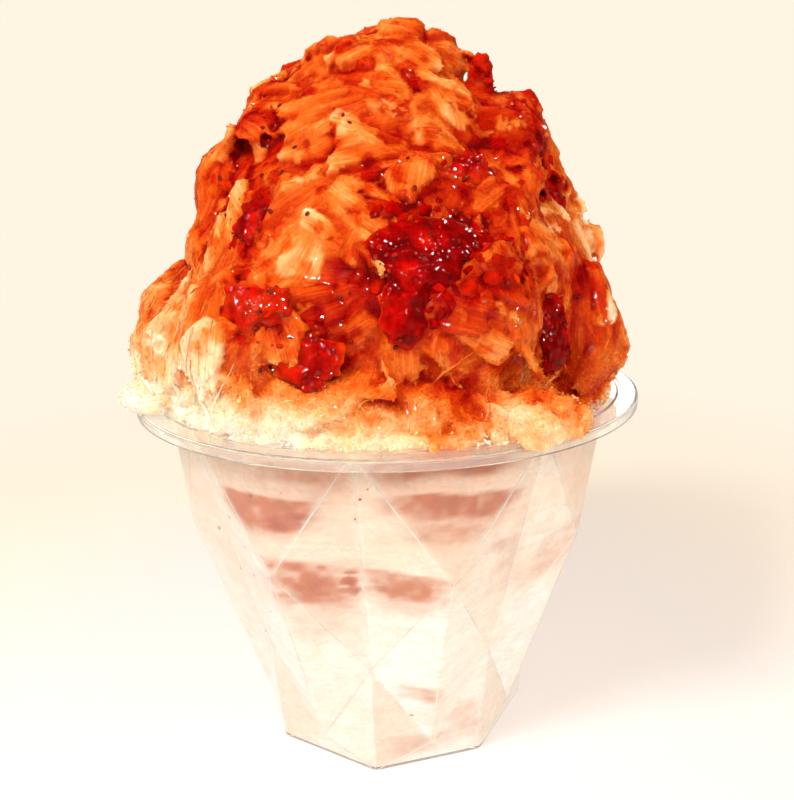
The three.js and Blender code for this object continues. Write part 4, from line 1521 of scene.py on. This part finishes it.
def make_heap(material):
    """Shavings pressed into the core of the heap: one skin, each shaving in its own tint and grain."""
    random = np.random.default_rng(12)
    obj = heap_core("soaked_heap")
    core_tree = tree_of(obj)
    flakes = pressed_flakes(*skin_of(obj), core_tree, random)
    plates = pressed_plates(obj, flakes, core_tree, random)
    plate_tree = tree_of(plates)
    faces_each = len(plates.data.polygons) // len(flakes["place"])
    absorb(obj, snow_bank(random), plates)
    remeshed(obj, HEAP_VOXEL, 1)
    cut_and_thinned(obj, HEAP_CUT, HEAP_TRIANGLES)

    points, normals = skin_of(obj)
    p = points / MM
    on_flake, who = flake_owners(points, plate_tree, faces_each)
    own = {key: flakes[key][who] for key in ("place", "along", "across", "length", "fan", "tint")}
    offset = points - own["place"]
    stretch = np.sum(offset * own["along"], axis=1) / own["length"] + FLAKE_ROOT
    sideways = np.sum(offset * own["across"], axis=1)
    fan_width = flake_spread(stretch, own["fan"]) * 2
    own_number = hash_grid(np.stack([who, who * 3, who * 7], axis=1), 81)
    flake_grain = np.stack([stretch * own["length"] / MM * 0.16, sideways / fan_width / MM * 2.2,
                            own_number * 90], axis=1)
    core_height, core_grain = core_relief(points, normals)
    grain = np.where(on_flake[:, None], flake_grain, core_grain)
    crumbled = (smoothstep(*CRUMBLED_TOP, p[:, 2] + 2 * value_noise(p, 4.0, 59))
                * smoothstep(*CRUMBLED_SIDE, p[:, 0] + 3 * value_noise(p, 5.0, 60)))
    grain = np.where(crumbled[:, None] > 0.4, p * GRANULE_GRAIN, grain)

    ridges = ridges_along(grain)
    granule, _, _ = cell_noise(p, 1.5, 56)
    crumbly = value_noise(p, 1.3, 57) * 0.4 + value_noise(p, 0.9, 58) * 0.3 + 0.9 * (0.5 - granule)
    relief = np.where(on_flake, 0.10 * ridges, 0.35 * core_height / MM + 0.06 * ridges)
    relief = relief + 0.34 * smoothstep(88, 80, p[:, 2]) * crumbly + 0.12 * crumbly
    set_points(obj, points + normals * (relief * smoothstep(*RELIEF_FOOT, p[:, 2]) * MM)[:, None])

    area = syrup_tint(points)
    flake_tint = 0.35 * area + 0.65 * own["tint"] + 0.12 - 0.18 * np.clip(stretch, 0, 1) - 0.06 * ridges
    core_tint = area + 0.07 - 0.05 * ridges
    tint = heap_tint(obj.data, points, normals, core_tint, flake_tint, on_flake, crumbled, area)
    set_tint(obj, tint_color(tint))
    set_grain(obj, grain)
    return add_piece(obj, material, "soaked_ice", "ice_heap"), tint


FIBRES = {"count": 300, "spacing": 2.2, "rise": 0.1, "length": (4, 9), "aspect": (0.02, 0.04),
          "tilt": (-1, 3), "scatter": 0.35}
FIBRE_DRAPE = (0.0, 0.0, 0.15, 0.4)
FIBRE_THICKNESS = 0.12 * MM
FIBRE_GRID = (8, 3)
FIBRE_FADE = 0.1


def make_fibres(heap, material):
    """Thin splinters that lie on the skirt and the foot of the heap."""
    random = np.random.default_rng(14)
    points, normals = skin_of(heap)
    x, _, height = points.T / MM
    above_rim = smoothstep(75, 77, height)
    skirt = smoothstep(-10, -24, x) * smoothstep(104, 94, height) * above_rim
    wanted = np.maximum(skirt, 0.35 * smoothstep(92, 82, height) * above_rim)
    fibres = strewn_flakes(points, normals, FIBRES, wanted * off_the_jam(points / MM, -1), random)
    count = len(fibres["place"])
    own = (syrup_tint(fibres["place"]) + random.normal(-0.06, 0.06, count))[:, None, None, None]
    bent, u, v, ridge = flake_points(fibres, FIBRE_THICKNESS, *FIBRE_GRID, random)
    bent = draped(bent, tree_of(heap), FIBRE_DRAPE)
    obj = join_copies("ice_fibres", bent, plate_faces(*FIBRE_GRID))
    shape = bent.shape[:-1]
    area = syrup_tint(bent.reshape(-1, 3)).reshape(shape)
    tint = 0.5 * area + 0.5 * own + 0.4 * FIBRE_FADE - FIBRE_FADE * u[:, None] - 0.03 * ridge[:, None]
    set_tint(obj, tint_color(tint.ravel()))
    offset = random.uniform(0, 60, (count, 1, 1, 1, 3))
    across = v[:, None] * (fibres["width"] / MM / 2)[:, None, None, None]
    stretch = u[:, None] * (fibres["length"] / MM)[:, None, None, None]
    across, stretch = np.broadcast_to(across, shape), np.broadcast_to(stretch, shape)
    grain = np.stack([stretch * 0.16, across * 1.7, np.zeros(shape)], axis=-1) + offset
    set_grain(obj, grain.reshape(-1, 3))
    add_piece(obj, material, "soaked_ice", "ice_heap")


CRUMBS = 4200
CRUMB_SPACING = 0.6 * MM
CRUMB_FOOT = (90, 79)        # mm, between which they grow more towards the rim
CRUMB_SHARE = 0.06           # of the places that get one higher up
CRUMB_SIZE = (0.09, 0.34)    # mm, half sizes on the heap
RIM_CRUMB_SIZE = (0.10, 0.36)    # mm, and along the rim


def make_crumbs(core, core_tint, material):
    """Loose grains on the heap, most near its foot, and along the rim."""
    random = np.random.default_rng(31)
    points, normals = skin_of(core)
    height = points[:, 2] / MM
    wanted = smoothstep(74, 75, height) * (CRUMB_SHARE + (1 - CRUMB_SHARE) * smoothstep(*CRUMB_FOOT, height))
    picked = scatter(points, CRUMBS, CRUMB_SPACING, random, wanted)
    sizes = random.uniform(*CRUMB_SIZE, (len(picked), 3)) * MM
    spots = rim_places(random)
    places = np.concatenate([points[picked] + normals[picked] * 0.08 * MM, spots])
    out = np.concatenate([normals[picked], upward(len(spots))])
    tints = np.concatenate([core_tint[picked], 0.5 * syrup_tint(spots)])
    sizes = np.concatenate([sizes, random.uniform(*RIM_CRUMB_SIZE, (len(spots), 3)) * MM])
    obj = scattered_bits("ice_crumbs", CHIP, places, out, sizes, 0.22, random, smooth=False)
    color_bits(obj, tint_color(tints + random.normal(0, 0.03, len(places))))
    add_piece(obj, material, "soaked_ice", "ice_heap")


# ------------------------------------------------------------------ jam

JAM_VOXEL = 0.36 * MM
JAM_MIDDLE = (0, 0, 85)     # mm
JAM_BITS = 190
JAM_BIT_SPACING = 1.8 * MM
JAM_BIT_SIZE = (0.4, 1.6)     # mm, half sizes
JAM_BIT_HEIGHT = 0.35         # times as high as wide
# The lumps of the knob: place and half size in mm.
KNOB_LUMPS = [(18.4, -5.0, 134.6, 1.5), (19.2, -5.3, 133.4, 1.2), (19.8, -5.0, 131.2, 0.9)]
KNOB_TINT = 0.80
BEADS = 420                   # at most on the ice, and a fifth of it on each pool
BEAD_SPACING = 0.9 * MM
BEAD_SIZE = (0.18, 0.46)      # mm, half sizes
BEADS_ON_ICE = 0.25           # their chance on soaked ice beside that on jam
BEAD_TINT = 0.85
BEAD_SHAPE = np.array([1, 1.2, 0.7])


def make_jam(material):
    """Each pool keeps the solid's form, a little fuller so that it closes its pocket."""
    made = []
    for index, (pool, pool_tint) in enumerate(JAM_TINTS.items()):
        obj = remeshed(copy_of_node("glossy_" + pool, pool), JAM_VOXEL, 2)
        points, normals = skin_of(obj)
        p = points / MM
        nearest, _, _ = cell_noise(p, 3.6, 71 + index)
        fine, _, _ = cell_noise(p, 1.6, 171 + index)
        pulp = 0.9 * (0.5 - nearest) + 0.7 * (0.5 - fine) + 0.6 * value_noise(p, 5.5, 72)
        edge = 1 - np.clip(np.sum(normals * unit(p - np.array(JAM_MIDDLE)), axis=1), 0, 1)
        ragged = 2.0 * value_noise(p, 3.4, 74) + 1.0 * value_noise(p, 1.6, 75)
        set_points(obj, points + normals * ((pulp - 0.15 + edge * ragged) * MM)[:, None])
        tint = pool_tint + 0.16 * value_noise(p, 3.0, 73) - 0.05 * pulp - 0.22 * edge * edge
        set_tint(obj, tint_color(tint))
        made.append(add_piece(obj, material, "jam", pool))
    return made


def make_jam_bits(core, material):
    """Loose lumps of fruit and syrup round the pools, and the knob."""
    random = np.random.default_rng(77)
    points, normals = skin_of(core)
    tint = syrup_tint(points)
    wanted = smoothstep(0.72, 0.90, tint) * smoothstep(78, 82, points[:, 2] / MM)
    picked = scatter(points, JAM_BITS, JAM_BIT_SPACING, random, wanted)
    sizes = random.uniform(*JAM_BIT_SIZE, (len(picked), 3)) * MM
    sizes[:, 2] *= JAM_BIT_HEIGHT
    knob = np.array(KNOB_LUMPS)
    places = np.concatenate([points[picked] - normals[picked] * 0.1 * MM, knob[:, :3] * MM])
    out = np.concatenate([normals[picked], upward(len(knob))])
    sizes = np.concatenate([sizes, np.repeat(knob[:, 3:], 3, axis=1) * MM])
    obj = scattered_bits("jam_lumps", LUMP, places, out, sizes, 0.2, random)
    own = np.clip(tint[picked] + random.normal(0.05, 0.06, len(picked)), 0.7, 1)
    color_bits(obj, tint_color(np.concatenate([own, np.full(len(knob), KNOB_TINT)])))
    add_piece(obj, material, "jam")


def make_beads(pools, core, material):
    """Wet beads in clusters on the jam and on the soaked ice, which catch the light."""
    random = np.random.default_rng(83)
    found = []
    for obj in [*pools, core]:
        on_ice = obj is core
        points, normals = skin_of(obj)
        cluster = smoothstep(0.1, 0.45, value_noise(points / MM, 4.0, 84))
        area = syrup_tint(points) if on_ice else np.full(len(points), BEAD_TINT)
        soaked = smoothstep(0.5, 0.8, area) * (BEADS_ON_ICE if on_ice else 1.0)
        high = smoothstep(77, 80, points[:, 2] / MM)
        limit = BEADS if on_ice else BEADS // 5
        picked = scatter(points, limit, BEAD_SPACING, random, cluster * soaked * high)
        found.append((points[picked], normals[picked], area[picked]))
    places, out, tints = (np.concatenate(column) for column in zip(*found))
    sizes = random.uniform(*BEAD_SIZE, (len(places), 1)) * BEAD_SHAPE * MM
    obj = scattered_bits("wet_beads", CHIP, places - out * 0.08 * MM, out, sizes, 0.12, random, smooth=False)
    color_bits(obj, tint_color(tints))
    return add_piece(obj, material, "jam")


# ------------------------------------------------------------------ seeds and specks

SEED_HALF = np.array([0.36, 0.52, 0.28])     # mm, half sizes of a seed
SEED_VARIETY = (0.8, 1.15)                   # of the sizes
SEED_SPACING = 2.6 * MM
SEED_OUTSIDE = 0.012     # m: a pool has seeds where it faces that far out
SEEDS_EACH_POOL = 7
SEEDS_LOOSE = 16
# Seeds that show one by one in front, in mm.
SEED_PLACES = [
    (-29, -12, 114), (-24, -18, 113), (-21, -21, 110), (-18.5, -28, 109), (-26, -21, 108),
    (-17, -23, 115), (-14, -19, 118), (-6.5, -20, 124), (-5.6, -21, 122), (-18, -37, 96),
    (-15.8, -38, 95.5), (-14.7, -39, 94), (-19.7, -37, 92.5), (-23.5, -36, 92), (-18.4, -38, 86),
    (-20, -40, 85), (-15.5, -40, 83.4), (-7.3, -38, 86), (-5.5, -38, 89.5), (1.2, -40, 89),
    (-7.3, -38, 96), (11.3, -30.5, 108),
]


def seed_piece(name, places, normals, material, random):
    sizes = SEED_HALF * random.uniform(*SEED_VARIETY, (len(places), 1)) * MM
    add_piece(scattered_bits(name, LUMP, places, normals, sizes, 0.0, random), material, "jam")


def make_seeds(pools, material):
    """Dark fruit seeds on the outside of the jam."""
    random = np.random.default_rng(91)
    found = []
    for obj in pools:
        points, normals = skin_of(obj)
        facing = np.sum(normals * (points - np.array(JAM_MIDDLE) * MM), axis=1)
        outside = np.where(facing > SEED_OUTSIDE, 1.0, 0.0)
        picked = scatter(points, SEEDS_EACH_POOL, SEED_SPACING, random, outside)
        found.append((points[picked], normals[picked]))
    places, out = (np.concatenate(column) for column in zip(*found))
    seed_piece("strawberry_seeds", places + out * 0.08 * MM, out, material, random)


def make_loose_seeds(core, material):
    """Seeds washed down below the jam, and those that the photo shows."""
    random = np.random.default_rng(93)
    points, normals = skin_of(core)
    wanted = smoothstep(0.45, 0.75, syrup_tint(points)) * smoothstep(80, 84, points[:, 2] / MM)
    picked = scatter(points, SEEDS_LOOSE, SEED_SPACING, random, wanted)
    shown = [np.argmin(np.sum((points / MM - np.array(place)) ** 2, axis=1)) for place in SEED_PLACES]
    picked = np.concatenate([picked, shown])
    out = normals[picked]
    seed_piece("loose_seeds", points[picked] + out * 0.12 * MM, out, material, random)


# Specks washed down behind the wall: angle from the front in degrees, height and length in mm.
WALL_SPECKS = [
    (-59.2, 49.7, 1.7), (-46.9, 55.1, 0.9), (-42.1, 50.0, 1.0), (-54.8, 41.3, 0.8), (-43.1, 43.2, 0.8),
    (-39.3, 35.8, 0.9), (-6.6, 63.9, 0.7), (-4.7, 66.0, 0.5), (-8.2, 59.9, 0.5),
]
MORE_SPECKS = 14
SPECK_REACH = 0.12 * MM
SPECK_TONES = [linear(150, 62, 26), linear(186, 96, 52), linear(206, 128, 84)]
# The lumps of the drip: angle from the front in degrees, height, half length and half width in mm.
DRIP = [(31.3, 71.9, 1.3, 0.8), (29.4, 72.1, 1.0, 0.6), (33.0, 72.0, 0.9, 0.5)]
DRIP_RADIUS = 44.6 * MM
DRIP_DEPTH = 0.3     # mm
DRIP_TONE = linear(222, 150, 84)


def make_wall_specks(wall, material):
    random = np.random.default_rng(97)
    strewn = np.stack([random.uniform(-180, 180, MORE_SPECKS), random.triangular(8, 58, 71, MORE_SPECKS),
                       random.uniform(0.35, 0.8, MORE_SPECKS)], axis=1)
    specks = np.concatenate([np.array(WALL_SPECKS), strewn])
    places, out = [], []
    for turn, height, _ in specks:
        angle = math.radians(turn)
        radius = wall_radius(wall, angle, height * MM) + WALL_REACH + SPECK_REACH
        places.append(around_axis(radius, height * MM, angle))
        out.append(around_axis(1, 0, angle))
    half = specks[:, 2:] / 2
    sizes = np.concatenate([half * 0.7, half, np.full_like(half, 0.16)], axis=1) * MM
    obj = scattered_bits("wall_specks", LUMP, np.array(places), np.array(out), sizes, 0.12, random)
    color_bits(obj, np.array(SPECK_TONES)[random.integers(0, len(SPECK_TONES), len(places))])
    add_piece(obj, material, "jam")


def make_drip(material):
    """A drop of syrup that hangs under the lip, front right."""
    angles = [math.radians(turn) for turn, *_ in DRIP]
    places = [around_axis(DRIP_RADIUS, height * MM, angle) for angle, (_, height, _, _) in zip(angles, DRIP)]
    out = [around_axis(1, 0, angle) for angle in angles]
    sizes = [(half_width, half_length, DRIP_DEPTH) for _, _, half_length, half_width in DRIP]
    obj = scattered_bits("lip_drip", LUMP, np.array(places), np.array(out), np.array(sizes) * MM, 0.03,
                         np.random.default_rng(98))
    color_bits(obj, np.array([DRIP_TONE] * len(DRIP)))
    add_piece(obj, material, "jam")


# ------------------------------------------------------------------ stage and light

FLOOR_RADIUS = 1.2
FLOOR_HEIGHT = -0.02 * MM
BACKGROUND = linear(254, 245, 226)
STUDIO_STRENGTH = 0.50        # of the light all round
REFLECTED_STRENGTH = 0.08     # of the same light in the gloss from above, as with dark flags
LEVEL_STRENGTH = 0.45         # and in the gloss from the side and below
LEVEL_HEIGHTS = (-0.05, 0.12)     # of a direction, between which it goes from level to above
THROUGH_STRENGTH = 0.90       # of what comes through the clear plastic
BACKGROUND_STRENGTH = 1.0     # of what the camera sees
LIT_PLACE = (0, 0, 0.08)      # what every light is turned to
WHITE_LIGHT = (1.0, 0.97, 0.92)
# The wide lights, which don't show in the gloss: name, place and size in m, power in W, colour.
WIDE_LIGHTS = [
    ("key", (-0.32, -0.30, 0.48), 0.14, 2.6, (1.0, 0.95, 0.87)),
    ("front", (0.02, -0.50, 0.36), 0.14, 1.0, (1.0, 0.96, 0.90)),
    ("fill", (0.45, -0.30, 0.30), 0.26, 0.9, (1.0, 0.88, 0.80)),
]
LIP_SKY = 3.2     # W, of the pale card that only the clear plastic mirrors
# Wide lights that only the facets of the wet beads mirror.
SPARKLES = [(-0.20, -0.36, 0.34), (0.26, -0.30, 0.44), (0.05, -0.10, 0.60)]
SPARKLE_POWER = 9.0     # W
# Small lights for the sparkle: their place, their power, and whether only the wet pieces get them.
GLINTS = [
    ((-0.10, -0.44, 0.36), 1.4, False),
    ((0.14, 0.40, 0.46), 2.0, True),
    ((0.20, -0.38, 0.40), 4.0, True),
    ((-0.34, -0.10, 0.40), 4.0, True),
    ((0.30, 0.30, 0.42), 2.4, True),
]


def make_stage():
    bm = bmesh.new()
    bmesh.ops.create_circle(bm, cap_ends=True, segments=96, radius=FLOOR_RADIUS)
    mesh = bpy.data.meshes.new("floor")
    bm.to_mesh(mesh)
    bm.free()
    mesh.materials.append(floor_material())
    floor = linked("floor", mesh)
    floor.location.z = FLOOR_HEIGHT


def make_world():
    """One pale colour all round, of another strength for each kind of ray."""
    world = bpy.data.worlds.new("studio")
    world.use_nodes = True
    tree = world.node_tree
    background = tree.nodes["Background"]
    feed(tree, background.inputs["Color"], BACKGROUND)
    path = node(tree, "LightPath", {})
    split = node(tree, "SeparateXYZ", {0: node(tree, "TexCoord", {}).outputs["Generated"]})
    reflected = spread(tree, split.outputs["Z"], (LEVEL_STRENGTH, REFLECTED_STRENGTH), LEVEL_HEIGHTS)
    switches = {"Is Glossy Ray": reflected, "Transmission Depth": THROUGH_STRENGTH,
                "Is Camera Ray": BACKGROUND_STRENGTH}
    strength = STUDIO_STRENGTH
    for switch, value in switches.items():
        share = spread(tree, path.outputs[switch], (0, 1))
        strength = node(tree, "Mix", {0: share, 2: strength, 3: value}).outputs[0]
    feed(tree, background.inputs["Strength"], strength)
    bpy.context.scene.world = world


def area_light(name, place, size, power, color, only=(), only_name=None, **shown):
    """A round light turned to the object, for some pieces alone if they are given."""
    data = bpy.data.lights.new(name, "AREA")
    data.shape = "DISK"
    data.size = size
    data.energy = power
    data.color = color
    light = linked(name, data)
    light.location = place
    light.rotation_mode = "QUATERNION"
    light.rotation_quaternion = (Vector(LIT_PLACE) - Vector(place)).to_track_quat("-Z", "Y")
    light.visible_camera = False
    for key, value in shown.items():
        setattr(light, key, value)
    if only:
        lit = bpy.data.collections.new(only_name)
        for piece in only:
            lit.objects.link(piece)
        light.light_linking.receiver_collection = lit


def make_lights(pools, beads, cup):
    for wide in WIDE_LIGHTS:
        area_light(*wide, visible_glossy=False)
    area_light("sky_for_the_cup", (0.0, 0.55, 0.26), 0.7, LIP_SKY, WHITE_LIGHT, [cup], "cup_only",
               visible_diffuse=False, visible_transmission=False)
    for number, (place, power, wet_only) in enumerate(GLINTS):
        only = [*pools, beads] if wet_only else ()
        area_light("glint_%d" % number, place, 0.022, power, WHITE_LIGHT, only, "wet_pieces_%d" % number,
                   visible_diffuse=False)
    for number, place in enumerate(SPARKLES):
        area_light("sparkle_%d" % number, place, 0.24, SPARKLE_POWER, (1.0, 0.98, 0.95), [beads],
                   "beads_%d" % number, visible_diffuse=False)


# ------------------------------------------------------------------ build

def main():
    jam, seed, packed = jam_material(), seed_material(), packed_ice_material()
    cup = make_cup(plastic_material())
    make_crease_highlights(packed)
    wall = tree_of(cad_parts["cup"])
    for index in range(len(LAYERS)):
        make_fill_layer(index, wall, packed)
    core, core_tint = make_heap(soaked_ice_material("soaked_ice_core", True, 0.8, 2.2 * MM, 0.20, 0.8))
    make_fibres(core, soaked_ice_material("soaked_ice_flake", True, 0.0, 0.3 * MM, 0.1, 0.2))
    make_crumbs(core, core_tint, soaked_ice_material("soaked_ice_crumb", False, 0.6, 0.4 * MM, 0.1, 0.3))
    pools = make_jam(jam)
    make_jam_bits(core, jam)
    beads = make_beads(pools, core, soaked_ice_material("wet_beads", False, 0.5, 0.6 * MM, 1.0, 0.0))
    make_seeds(pools, seed)
    make_loose_seeds(core, seed)
    make_wall_specks(wall, packed)
    make_drip(jam)
    make_stage()
    make_world()
    make_lights(pools, beads, cup)
    make_camera()
    view = bpy.context.scene.view_settings
    view.view_transform = "Standard"
    view.look = "None"


main()
